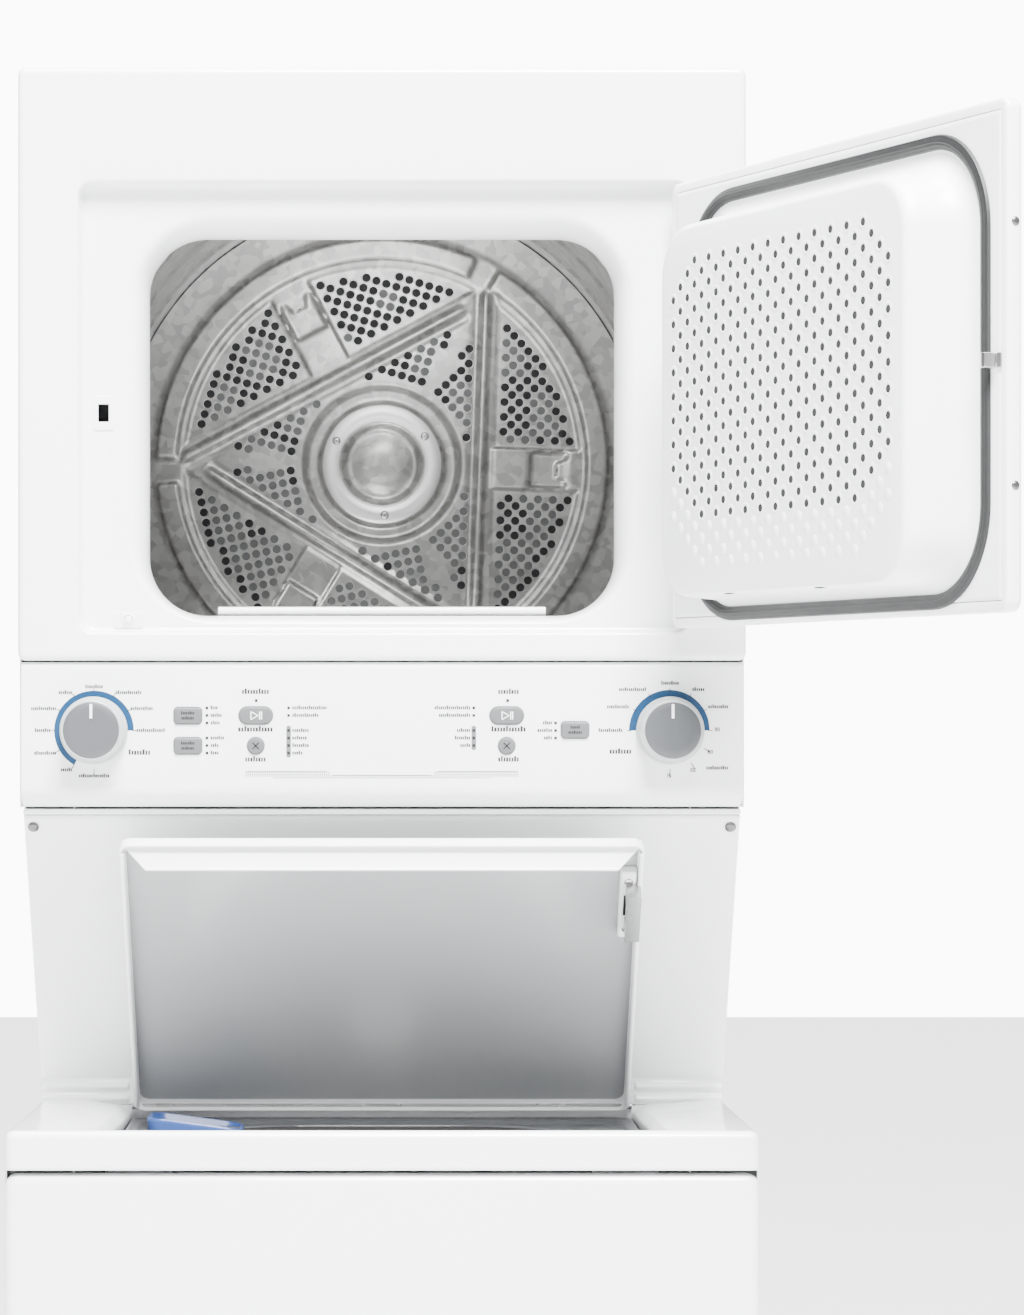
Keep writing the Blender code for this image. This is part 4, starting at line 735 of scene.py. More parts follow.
def solid_plate(name: str, low: tuple[float, float], high: tuple[float, float], radius: float,
                front: float, back: float, edge: float, steps: int = 8) -> bpy.types.Mesh:
    """A standing plate with rounded corners and a quarter-round front edge."""
    turns = np.linspace(0, np.pi / 2, 5)
    rings = [framed(low, high, radius, front + edge * (1 - math.sin(a)), edge * (1 - math.cos(a)), steps)
             for a in turns[::-1]]
    rings.append(framed(low, high, radius, back, 0.0, steps))
    return weld(loft(name, rings, True, True))


@dataclass
class DryerFront:
    """Face with its stepped recess and flared mouth, latch, switch plate and lint filter."""

    recess_low: tuple[float, float] = (-0.286, 0.0265)
    recess_high: tuple[float, float] = (0.290, 0.451)
    depth: float = 0.020
    flare: tuple[float, float, float, float] = (0.243, 0.0345, 0.4265, 0.085)
    mouth: tuple[float, float, float, float] = (0.222, 0.0435, 0.4035, 0.055)
    mouth_depth: float = 0.060

    def face(self) -> None:
        """Rings from the outer edge over the step and down the flare, a quarter ellipse, to the mouth."""
        base = DATUM.dryer_low
        low, high = (-DATUM.half, base), (DATUM.half, DATUM.dryer_high)
        rings = [framed(low, high, 0.007, 0.024), framed(low, high, 0.007, 0.0055)]
        for a in np.radians([18, 36, 54, 72, 90]):
            rings.append(framed(low, high, 0.007, 0.0055 * (1 - math.sin(a)), 0.0055 * (1 - math.cos(a))))
        rings.append(framed(low, high, 0.007, 0.0, 0.008))
        inner_low = (self.recess_low[0], base + self.recess_low[1])
        inner_high = (self.recess_high[0], base + self.recess_high[1])
        section = [(-0.0030, 0.0), (-0.0016, 0.0003), (-0.0005, 0.0012), (0.0, 0.0028), (0.0014, 0.0158),
                   (0.0022, 0.0182), (0.0038, 0.0196), (0.0060, self.depth)]
        rings += [framed(inner_low, inner_high, 0.014, depth, inset) for inset, depth in section]
        for a in np.linspace(0, np.pi / 2, 15):
            s, fall = math.sin(a), 1 - math.cos(a)
            half, bottom, top, radius = (f + (m - f) * s for f, m in zip(self.flare, self.mouth))
            rings.append(framed((-half, base + bottom), (half, base + top), radius,
                                self.depth + (self.mouth_depth - self.depth) * fall))
        mesh = cut(place(loft("dryer_face", rings)), [self.slot_space()], 0.0012)
        piece("dryer_face", mesh, ENAMEL, "cabinet", 60, ("dryer_front_panel",))

    @staticmethod
    def slot_space() -> bpy.types.Mesh:
        """The room that the striker enters in the latch."""
        low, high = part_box("door_latch")
        x, z, y = (low.x + high.x) / 2, (low.z + high.z) / 2, DATUM.face
        return block("space", (x - 0.0052, y + 0.015, z - 0.0085), (x + 0.0052, y + 0.040, z + 0.0085))

    def fittings(self) -> None:
        """Latch plate with its slot, and the switch's plate with a raised collar round the plunger."""
        low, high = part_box("door_latch")
        mid = (low.x + high.x) / 2 - DATUM.centre, (low.z + high.z) / 2
        plate = solid_plate("latch", (mid[0] - 0.010, mid[1] - 0.0165), (mid[0] + 0.010, mid[1] + 0.0165),
                            0.003,
                            0.0186, 0.026, 0.0008)
        piece("latch_plate", cut(place(plate), [self.slot_space()]), SATIN, "cabinet", 40, ("door_latch",))
        # A dark box behind the latch's slot: painted shade inside the latch.
        pocket = block("pocket", (mid[0] - 0.0075, 0.0262, mid[1] - 0.0105),
                       (mid[0] + 0.0075, 0.0390, mid[1] + 0.0105))
        space = block("space", (mid[0] - 0.0060, 0.0200, mid[1] - 0.0090),
                      (mid[0] + 0.0060, 0.0375, mid[1] + 0.0090))
        piece("latch_pocket", place(cut(pocket, [space])), HOLE, "cabinet")
        low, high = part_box("door_switch")
        spot = (low.x + high.x) / 2 - DATUM.centre, (low.z + high.z) / 2
        plate = solid_plate("plate", (spot[0] - 0.0145, spot[1] - 0.0080),
                            (spot[0] + 0.0145, spot[1] + 0.0080),
                            0.003, 0.0184, 0.0205, 0.0008)
        collar = revolve("collar", np.array([(0.0044, 0.0), (0.0046, 0.0012), (0.0058, 0.0012),
                                             (0.0066, 0.0)]),
                         np.array([spot[0], 0.0184, spot[1]]), "Y", 32, closed=True)
        piece("switch_plate", place(join("plates", [plate, collar])), SATIN, "cabinet", 40)
        knob = revolve("plunger", np.array([(0.0, 0.0), (0.0026, -0.0002), (0.0037, -0.0010),
                                            (0.0040, -0.0024), (0.0040, -0.0200), (0.0, -0.0200)]),
                       np.array([(low.x + high.x) / 2, low.y, spot[1]]), "Y", 32)
        piece("switch_plunger", knob, SATIN, "door_switch", 40, ("door_switch",))

    def lint(self) -> None:
        """Lint filter: a rounded grip bar over its blade."""
        low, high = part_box("lint_filter")
        section = rounded_loop((low.y, high.z - 0.0085), (high.y, high.z), 0.0038, 6)
        bar = extrude_outline("bar", section, low.x, high.x, "X")
        blade = block("blade", (low.x + 0.004, low.y + 0.004, low.z),
                      (high.x - 0.004, high.y - 0.004, high.z - 0.006))
        obj = piece("lint_grip", join("lint", [bar, blade]), SATIN, "lint_filter", 40, ("lint_filter",))
        soften(obj, 0.0008)

    def build(self) -> None:
        """Build every piece of the dryer's face."""
        self.face()
        self.fittings()
        self.lint()


# ---- Dryer door --------------------------------------------------------------
@dataclass
class Door:
    """Dryer door, drawn shut and then swung to its rest place."""

    low: tuple[float, float] = (-0.28005, 1.3955)
    high: tuple[float, float] = (0.288, 1.813)
    thick: float = 0.0155
    bulge_half: float = 0.210
    bulge_z: tuple[float, float] = (1.4215, 1.757)
    bulge_high: float = 0.0535
    bulge_radius: float = 0.045
    columns: int = 29
    across: float = 0.0132
    down: float = 0.0219
    pattern_top: float = 1.724
    hole: float = 0.0033

    def __post_init__(self) -> None:
        """Read the hinge's place and the angle between shut and rest."""
        joint = DATUM.joint("dryer_door_hinge")
        self.pivot = np.array(joint["pos_m"])
        self.turn = rotation("Z", math.radians(-joint["range_deg"][0]))

    def hang(self, mesh: bpy.types.Mesh) -> bpy.types.Mesh:
        """Move a mesh drawn shut to the door's rest place."""
        return move_mesh(place(mesh), self.turn, self.pivot)

    def skin(self) -> None:
        """Outer panel: rounded edges, folded over at the back to a fine groove."""
        section = [(0.0050, 0.0), (0.0031, 0.0004), (0.0015, 0.0015), (0.0004, 0.0031), (0.0, 0.0050),
                   (0.0, 0.0118), (0.0004, 0.0136), (0.0014, 0.0149), (0.0032, 0.0155), (0.0086, 0.0155),
                   (0.0090, 0.0151), (0.0092, 0.0120), (0.0106, 0.0118)]
        rings = [framed(self.low, self.high, 0.010, depth, inset) for inset, depth in section]
        mesh = weld(loft("door_skin", rings, True, True))
        piece("door_skin", self.hang(mesh), ENAMEL, "dryer_door", 40, ("door_outer_panel",))

    def bulge_ring(self, grow: float, depth: float) -> np.ndarray:
        """One ring of the bulge, grown out from its flat face."""
        low = (-self.bulge_half - grow, self.bulge_z[0] - grow * 0.3)
        high = (self.bulge_half + grow, self.bulge_z[1] + grow * 0.8)
        return at_depth(rounded_loop(low, high, self.bulge_radius + grow * 0.7, 14), depth)

    def inner(self) -> None:
        """Inner panel: a flat rim and a bulge whose side is a smooth double curve."""
        inset = 0.0098
        rings = [framed(self.low, self.high, 0.010, 0.0122, inset),
                 framed(self.low, self.high, 0.010, 0.0151, inset),
                 framed(self.low, self.high, 0.010, 0.0157, inset + 0.0006),
                 framed(self.low, self.high, 0.010, 0.0157, inset + 0.004)]
        t = np.linspace(0, 1, 26)
        weights = np.stack([(1 - t) ** 3, 3 * t * (1 - t) ** 2, 3 * t * t * (1 - t), t ** 3])
        grow = weights.T @ np.array([0.030, 0.001, 0.012, -0.006])
        rise = weights.T @ np.array([0.0, 0.0, self.bulge_high, self.bulge_high])
        rings += [self.bulge_ring(g, self.thick + 0.0002 + h) for g, h in zip(grow, rise)]
        mesh = weld(loft("door_inner", rings, True, True))
        piece("door_inner", self.hang(mesh), SATIN, "dryer_door", 60, ("door_inner_panel",))

    def pattern(self) -> tuple[np.ndarray, np.ndarray]:
        """Centres of the holes and of the blind dimples: columns, every other one half a step lower.

        A column near either side loses half a step at both ends for each column it lies outside the third.
        """
        i, k = np.meshgrid(np.arange(self.columns), np.arange(-5, 20), indexing="ij")
        i, k = i.ravel(), k.ravel()
        middle = self.pattern_top - 5 * self.down
        x = (i - (self.columns - 1) / 2) * self.across
        z = self.pattern_top - (k + 0.5 * (i % 2 == 0)) * self.down
        short = np.maximum(np.maximum(3 - i, i - (self.columns - 4)), 0) * 0.5
        steps = (z - middle) / self.down
        inner = (i >= 4) & (i <= self.columns - 5)
        lower = np.where(inner, -5.5, -5 + short)
        pierced = (steps < 5.01 - short) & (steps > lower - 0.01)
        blind = (steps <= lower - 0.01) & (steps > -7.6 + np.where(short > 0, short * 0.9, 0))
        spots = np.column_stack([x, np.full(len(x), self.thick + self.bulge_high + 0.0002), z])
        return spots[pierced], spots[blind]

    def perforations(self) -> None:
        """Dished holes and blind dimples on the bulge's face."""
        pierced, blind = self.pattern()
        about = rotation("Z", math.pi)
        dish = revolve("dish", np.array([(self.hole, -0.0010), (self.hole + 0.0003, 0.0001),
                                         (self.hole + 0.0012, 0.0006), (self.hole + 0.0026, 0.0004),
                                         (self.hole + 0.0040, -0.0001), (self.hole + 0.0030, -0.0006)]),
                       np.zeros(3), "Y", 12, closed=True)
        dome = revolve("dome", np.array([(0.0, 0.0011), (0.0022, 0.0010), (0.0040, 0.0006),
                                         (0.0054, 0.0001), (0.0060, -0.0004), (0.0, -0.0006)]),
                       np.zeros(3), "Y", 12)
        circle = np.linspace(0, 2 * np.pi, 12, endpoint=False)
        rim = (self.hole + 0.0001) * np.column_stack([np.cos(circle), np.sin(circle)])
        disc = extrude_outline("disc", rim, -0.0004, -0.0001, "Y")
        for unit in (dish, dome, disc):
            move_mesh(unit, about, np.zeros(3))
        relief = join("relief", [stamp("dishes", dish, pierced), stamp("domes", dome, blind)])
        piece("door_dimples", self.hang(relief), SATIN, "dryer_door", 60)
        # Dark discs just under the dished holes: painted shadow in the holes.
        sunk = pierced + np.array([0, -0.0001, 0])
        piece("door_holes", self.hang(stamp("holes", disc, sunk)), HOLE, "dryer_door")
        # Dark wedges: painted shadow in the drain slots.
        slots = [extrude_outline("slot", np.array([(x - 0.0085, 0.0612), (x + 0.0085, 0.0612),
                                                   (x + 0.0060, 0.0672),
                                                   (x - 0.0060, 0.0672)]), 1.4208, 1.4235, "Z")
                 for x in (0.088, -0.069)]
        piece("door_drain_slots", self.hang(join("slots", slots)), HOLE, "dryer_door")

    def gasket(self) -> None:
        """Ribbed seal: two round beads with a groove between, swept round the flare's outline."""
        u = np.linspace(-1, 1, 13)
        bead = 0.0034 * np.sqrt(np.clip(1 - u ** 2, 0, 1)) + 0.0007 * np.cos(u * np.pi * 2.5) ** 2
        rings = []
        for inset, height in zip((u + 1) * 0.0065, bead):
            loop = rounded_loop((-0.256 + inset, 1.400 + inset), (0.256 - inset, 1.796 - inset),
                                0.085 - inset, 16)
            rings.append(at_depth(loop, self.thick + 0.0002 + height))
        foot = [at_depth(rounded_loop((-0.243, 1.413), (0.243, 1.783), 0.072, 16), self.thick),
                at_depth(rounded_loop((-0.256, 1.400), (0.256, 1.796), 0.085, 16), self.thick)]
        mesh = weld(loft("gasket", rings + foot + rings[:1]))
        piece("door_seal", self.hang(mesh), SEAL, "dryer_door", 50, ("door_gasket",))

    def hardware(self) -> None:
        """Striker and the side screws."""
        x, z = -0.2635, 1.600
        strip = np.array([(x - 0.009, 0.0156), (x + 0.009, 0.0156), (x + 0.009, 0.0172),
                          (x + 0.004, 0.0180), (x + 0.0035, 0.0285), (x, 0.0300), (x - 0.0035, 0.0285),
                          (x - 0.004, 0.0180), (x - 0.009, 0.0172)])
        striker = extrude_outline("striker", strip, z - 0.0062, z + 0.0062, "Z")
        soften(piece("door_catch", self.hang(striker), STEEL, "dryer_door", 30, ("door_striker",)), 0.0006)
        side = rotation("Z", -math.pi / 2)
        screw = move_mesh(screw_head(0.0038), side, np.zeros(3))
        spots = np.array([(self.low[0] - 0.0004, 0.0078, 1.712), (self.low[0] - 0.0004, 0.0078, 1.498)])
        piece("door_side_screws", self.hang(stamp("screws", screw, spots)), SCREW, "dryer_door")

    def build(self) -> None:
        """Build every piece of the door."""
        self.skin()
        self.inner()
        self.perforations()
        self.gasket()
        self.hardware()


# ---- Console -----------------------------------------------------------------
FACE_Y = 0.005
DIAL_Z = 1.2995


def printed(name: str, spots: np.ndarray, sizes: np.ndarray, finish: Finish, body: str = "cabinet",
            depth: float = FACE_Y, turn: np.ndarray | None = None) -> bpy.types.Object:
    """Print many small rectangles on the console.

    Args:
        name: the piece's name.
        spots: (n, 2) centres, (x, z).
        sizes: (n, 2) widths and heights.
        finish: the ink.
        body: the body that they ride on.
        depth: the printed face's y.
        turn: (n,) turns in radians, anticlockwise as seen from the front, or None.

    Returns:
        One object with a thin raised block for each rectangle.
    """
    unit = block("unit", (-0.5, -0.5, -0.5), (0.5, 0.5, 0.5))
    turn = np.zeros(len(spots)) if turn is None else turn
    axes = np.zeros((len(spots), 3, 3))
    axes[:, 0, 0], axes[:, 2, 0] = sizes[:, 0] * np.cos(turn), sizes[:, 0] * np.sin(turn)
    axes[:, 0, 2], axes[:, 2, 2] = -sizes[:, 1] * np.sin(turn), sizes[:, 1] * np.cos(turn)
    axes[:, 1, 1] = 0.0003
    places = np.column_stack([spots[:, 0], np.full(len(spots), depth - 0.0001), spots[:, 1]])
    return piece(name, place(stamp(name, unit, places, axes)), finish, body, 30)


def word_bars(words: np.ndarray, tall: float) -> tuple[np.ndarray, np.ndarray]:
    """Break each word's length into plain upright bars, with no letter shapes.

    Args:
        words: (n, 3) centre x, centre z and length of each word.
        tall: height of most bars; some are taller by a third, in a fixed pattern.

    Returns:
        The bars' centres and sizes.
    """
    pitch = tall * 0.70
    counts = np.maximum(np.round(words[:, 2] / pitch).astype(int), 2)
    which = np.repeat(np.arange(len(words)), counts)
    order = np.arange(counts.sum()) - np.repeat(np.cumsum(counts) - counts, counts)
    step = words[which, 2] / counts[which]
    x = words[which, 0] - words[which, 2] / 2 + step * (order + 0.5)
    high = tall * (1.0 + 0.34 * ((order * 3 + which) % 5 == 0))
    z = words[which, 1] + (high - tall) / 2
    wide = step * (0.68 + 0.12 * ((order * 2 + which) % 3 == 1))
    return np.column_stack([x, z]), np.column_stack([wide, high])


@dataclass(frozen=True)
class WordRing:
    """Words round a dial: each starts on an oval round its centre and runs outwards.

    A word at angle a starts at x = centre + (left or right) cos a, z = (up or down) sin a.
    """

    centre: float
    left: float
    right: float
    up: float
    down: float
    angles: tuple[int, ...]
    lengths: tuple[float, ...]

    def words(self) -> np.ndarray:
        """Centre x, centre z and length of each word."""
        a = np.radians(self.angles)
        lengths = np.array(self.lengths)
        out, rise = np.round(np.cos(a), 6), np.sin(a)
        x = self.centre + np.where(out > 0, self.right, self.left) * out + np.sign(out) * lengths / 2
        return np.column_stack([x, np.where(rise > 0, self.up, self.down) * rise, lengths])


@dataclass(frozen=True)
class LampColumn:
    """A column of lamps with a word beside each, on even rows counted from the dials' level."""

    x: float
    towards: int
    rows: tuple[int, ...]
    lengths: tuple[float, ...]
    pitch: float = 0.0071
    gap: float = 0.0032

    def lamps(self) -> np.ndarray:
        """Centres of the lamps."""
        return np.column_stack([np.full(len(self.rows), self.x), np.array(self.rows) * self.pitch])

    def words(self) -> np.ndarray:
        """Centre x, centre z and length of each word: all start at the gap from their lamps."""
        lengths = np.array(self.lengths)
        x = self.x + self.towards * (self.gap + lengths / 2)
        return np.column_stack([x, np.array(self.rows) * self.pitch, lengths])


WASH_CYCLES = WordRing(-0.2715, 0.0410, 0.0400, 0.0412, 0.0430, (90, 120, 60, 150, 30, 180, 0, 210, 240, 270),
                       (0.017, 0.013, 0.025, 0.024, 0.021, 0.015, 0.027, 0.021, 0.011, 0.029))
DRY_CYCLES = WordRing(0.2715, 0.0445, 0.0415, 0.0445, 0.0445, (90, 120, 60, 150, 30, 180),
                      (0.017, 0.026, 0.012, 0.021, 0.019, 0.023))
WASH_OFF = WordRing(-0.2715, 0.0385, 0.0385, 0.0385, 0.0385, (-33,), (0.021,))
DRY_OFF = WordRing(0.2715, 0.0413, 0.0413, 0.0413, 0.0413, (209,), (0.021,))
LAMP_COLUMNS = (
    LampColumn(-0.1650, 1, (3, 2, 1, -1, -2, -3), (0.007, 0.011, 0.009, 0.013, 0.008, 0.008)),
    LampColumn(-0.0880, 1, (3, 2, 0, -1, -2, -3), (0.033, 0.025, 0.016, 0.014, 0.016, 0.010)),
    LampColumn(0.0866, -1, (3, 2, 0, -1, -2), (0.034, 0.030, 0.013, 0.015, 0.010)),
    LampColumn(0.1637, -1, (1, 0, -1), (0.009, 0.014, 0.008)))


@dataclass
class Console:
    """Control console: body, two dials, seven keys and everything printed on its face."""

    dial_x: float = 0.2715
    heading_x: float = 0.1193
    heading_rows: tuple[float, float, float] = (0.0364, 0.0009, -0.0274)
    heading_lengths: tuple[tuple[float, float], ...] = ((0.026, 0.020), (0.033, 0.033), (0.020, 0.020))
    key_lines: float = 0.0024
    key_lengths: tuple[tuple[float, float], ...] = ((0.013, 0.012), (0.013, 0.012), (0.009, 0.013))
    minutes_word: tuple[float, float, float] = (0.316, -0.0355, 0.021)
    single_lamp: tuple[float, float] = (0.1185, 0.0282)

    def body(self) -> None:
        """Moulded body: its section is carried across, and the lower edge curls back under."""
        low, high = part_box("console_panel")
        top = high.z
        turns = np.linspace(0, np.pi / 2, 6)
        crown = np.column_stack([FACE_Y + 0.006 * (1 - np.sin(turns)), top - 0.006 * (1 - np.cos(turns))])
        chin = np.column_stack([FACE_Y + 0.036 * (1 - np.cos(turns)) ** 1.15,
                                low.z + 0.020 * (1 - np.sin(turns))])
        section = np.concatenate([[(0.050, top)], crown, chin, [(0.050, low.z)]])
        mesh = extrude_outline("console", section, low.x - DATUM.centre, high.x - DATUM.centre, "X")
        obj = piece("console_body", place(mesh), SATIN, "cabinet", 38, ("console_panel",))
        soften(obj, 0.0012)

    def dial(self, side: int) -> None:
        """A dial: pale stepped skirt, grey face with a raised pointer, and its printed arc and ticks."""
        name, body = ("washer", "washer_knob") if side < 0 else ("dryer", "dryer_knob")
        centre = np.array([side * self.dial_x, FACE_Y, DIAL_Z])
        section = np.array([(0.0, 0.0394), (0.0262, 0.0394), (0.0265, 0.0398), (0.0272, 0.0400),
                            (0.0279, 0.0396), (0.0283, 0.0386), (0.0290, 0.0200), (0.0294, 0.0130),
                            (0.0300, 0.0118), (0.0311, 0.0110), (0.0318, 0.0096), (0.0320, 0.0060),
                            (0.0320, 0.0008), (0.0, 0.0008)])
        skirt = revolve("skirt", section, centre, "Y", 96)
        piece(f"{name}_dial_skirt", place(skirt), SKIRT, body, 32, (f"{name}_cycle_knob",))
        cap = revolve("cap", np.array([(0.0, 0.0398), (0.0180, 0.0399), (0.0256, 0.0400), (0.0261, 0.0397),
                                       (0.0261, 0.0390), (0.0, 0.0390)]), centre, "Y", 96)
        piece(f"{name}_dial_cap", place(cap), DIAL, body, 40)
        line = solid_plate("line", (centre[0] - 0.0013, DIAL_Z + 0.0112),
                           (centre[0] + 0.0013, DIAL_Z + 0.0246),
                           0.0006, FACE_Y - 0.0406, FACE_Y - 0.0395, 0.0003, 4)
        piece(f"{name}_dial_pointer", place(line), SATIN, body, 40)
        ends = (0.0, 240.0) if side < 0 else (0.0, 180.0)
        t = np.radians(np.linspace(*ends, 90))
        swell = np.sin((t - t[0]) / (t[-1] - t[0]) * np.pi / 2) if side > 0 else np.full(len(t), 0.15)
        inner, outer = np.full(len(t), 0.0316), 0.0374 + 0.0012 * swell
        rings = [np.column_stack([centre[0] + r * np.cos(t), np.full(len(t), y), DIAL_Z + r * np.sin(t)])
                 for r, y in ((inner, 0.0053), (inner, 0.00485), (outer, 0.00485), (outer, 0.0053))]
        mesh = weld(mesh_from("arc", np.stack(rings), quads(4, len(t), False)))
        piece(f"{name}_dial_arc", place(mesh), INK_BLUE, "cabinet", 30)
        angles = np.radians([0, 30, 60, 90, 120, 150, 180, 210, 240, 270] if side < 0 else
                            [-90, -57, -28, 0, 30, 60, 90, 120, 150, 180])
        long = np.where(np.sin(angles) < -0.3, 0.0075, 0.0040)
        out = 0.0355 + long / 2 + 0.0008
        spots = np.column_stack([centre[0] + out * np.cos(angles), DIAL_Z + out * np.sin(angles)])
        printed(f"{name}_dial_ticks", spots, np.column_stack([long, np.full(len(long), 0.0007)]), INK_GREY,
                depth=FACE_Y - 0.0001, turn=angles)

    def keys(self) -> None:
        """Keys with rounded edges, each in a dark surround line, and their plain marks."""
        names = ("wash_temp", "water_level", "dry_temp", "washer_start", "dryer_start", "washer_cancel",
                 "dryer_cancel")
        for number, name in enumerate(names):
            low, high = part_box(f"{name}_button")
            lo, hi = (low.x - DATUM.centre, low.z), (high.x - DATUM.centre, high.z)
            radius = 0.0022 if number < 3 else (high.z - low.z) / 2
            front = low.y - DATUM.face
            cap = solid_plate("key", lo, hi, radius, front, front + 0.009, 0.0012)
            piece(f"{name}_key", place(cap), KEY, f"{name}_button", 50, (f"{name}_button",))
            rings = [framed(lo, hi, radius + 0.0012, FACE_Y + y, inset) for inset, y in
                     ((-0.0012, 0.0004), (-0.0011, -0.0002), (0.0004, -0.0002), (0.0004, 0.0004))]
            piece(f"{name}_surround", place(loft("surround", rings)), DOT_GREY, "cabinet", 50)
            x, z = (lo[0] + hi[0]) / 2, (lo[1] + hi[1]) / 2
            body, face = f"{name}_button", front
            if number in (3, 4):
                bars = np.array([(x + 0.0037, z), (x + 0.0055, z), (x - 0.0045, z)])
                sizes = np.array([(0.0010, 0.0075), (0.0010, 0.0075), (0.0008, 0.0075)])
                printed(f"{name}_bars", bars, sizes, SATIN, body, face)
                edges = np.array([(x - 0.0012, z + 0.0019), (x - 0.0012, z - 0.0019)])
                slope = math.atan2(0.0037, 0.0066)
                printed(f"{name}_arrow", edges, np.full((2, 2), (0.0080, 0.0008)), SATIN, body, face,
                        np.array([-slope, slope]))
            elif number > 4:
                printed(f"{name}_cross", np.array([(x, z), (x, z)]), np.full((2, 2), (0.0085, 0.0011)),
                        INK_DARK, body, face, np.radians([45.0, -45.0]))
            else:
                lines = np.array([(x, z + side * self.key_lines, length)
                                  for side, length in zip((1, -1), self.key_lengths[number])])
                printed(f"{name}_bars", *word_bars(lines, 0.0022), INK_DARK, body, face)

    def prints(self) -> None:
        """Word bars, indicator lamps, their two strips, the minute figures and the dotted band."""
        base = np.array([0, DIAL_Z])
        light = [WASH_CYCLES.words(), *(column.words() for column in LAMP_COLUMNS), DRY_CYCLES.words(),
                 [self.minutes_word]]
        spots, sizes = word_bars(np.concatenate(light), 0.0027)
        printed("light_labels", spots + base, sizes, INK_GREY)
        headings = [(side * self.heading_x, row, length)
                    for row, pair in zip(self.heading_rows, self.heading_lengths)
                    for side, length in zip((-1, 1), pair)]
        spots, sizes = word_bars(np.concatenate([WASH_OFF.words(), DRY_OFF.words(), headings]), 0.0038)
        printed("bold_labels", spots + base, sizes, INK_DARK)
        singles = [(side * self.single_lamp[0], self.single_lamp[1]) for side in (-1, 1)]
        lamps = np.concatenate([*(column.lamps() for column in LAMP_COLUMNS), singles]) + base
        printed("lamps", lamps, np.full((len(lamps), 2), 0.0026), HOLE, depth=FACE_Y - 0.0002)
        for x, high, low in ((LAMP_COLUMNS[1].x, 0.0045, -0.0255), (LAMP_COLUMNS[2].x, 0.0045, -0.0185)):
            strip = solid_plate("strip", (x - 0.0022, DIAL_Z + low), (x + 0.0022, DIAL_Z + high), 0.0018,
                                FACE_Y - 0.00018, FACE_Y + 0.0004, 0.0001, 5)
            piece("lamp_strip", place(strip), DOT_GREY, "cabinet", 40)
        column = np.arange(-64, 65) * 0.0020
        x, row = np.meshgrid(column, np.arange(4), indexing="ij")
        z = DIAL_Z - 0.0395 - 0.0017 * row
        keep = ~((np.abs(x) < 0.050) & (row < 2)) & ~((np.abs(x) > 0.104) & (row == 3))
        spots = np.column_stack([x[keep], z[keep]])
        printed("dotted_band", spots, np.full((len(spots), 2), 0.0010), DOT_GREY)
        edge = np.array([(-0.090, DIAL_Z - 0.0385), (0.090, DIAL_Z - 0.0385), (0, DIAL_Z - 0.0422)])
        printed("band_lines", edge, np.array([(0.076, 0.0005), (0.076, 0.0005), (0.0940, 0.0005)]), DOT_GREY)
        self.figures()

    def figures(self) -> None:
        """Minutes round the dryer's dial, in plain straight strokes.

        Strokes are numbered top, upper right, lower right, bottom, lower left, upper left, middle.
        """
        strokes = {"0": (0, 1, 2, 3, 4, 5), "1": (1, 2), "3": (0, 1, 6, 2, 3), "5": (0, 5, 6, 2, 3),
                   "6": (0, 5, 4, 3, 2, 6), "9": (6, 5, 0, 1, 2, 3)}
        middle = np.array([(0, 1), (0.5, 0.5), (0.5, -0.5), (0, -1), (-0.5, -0.5), (-0.5, 0.5), (0, 0)])
        across = np.array([1, 0, 0, 1, 0, 0, 1], dtype=bool)
        spots, sizes = [], []
        for text, x, z in (("90", 0.3160, 0.001), ("60", 0.3096, -0.0202), ("30", 0.2931, -0.0373),
                           ("15", 0.2700, -0.0425)):
            for column, digit in enumerate(text):
                chosen = list(strokes[digit])
                spots.append(middle[chosen] * 0.0015 + (x + (column - 0.5) * 0.0028, DIAL_Z + z))
                sizes.append(np.where(across[chosen][:, None], (0.0018, 0.0006), (0.0006, 0.0018)))
        printed("minute_figures", np.concatenate(spots), np.concatenate(sizes), INK_DARK)

    def build(self) -> None:
        """Build every piece of the console."""
        self.body()
        self.dial(-1)
        self.dial(1)
        self.keys()
        self.prints()


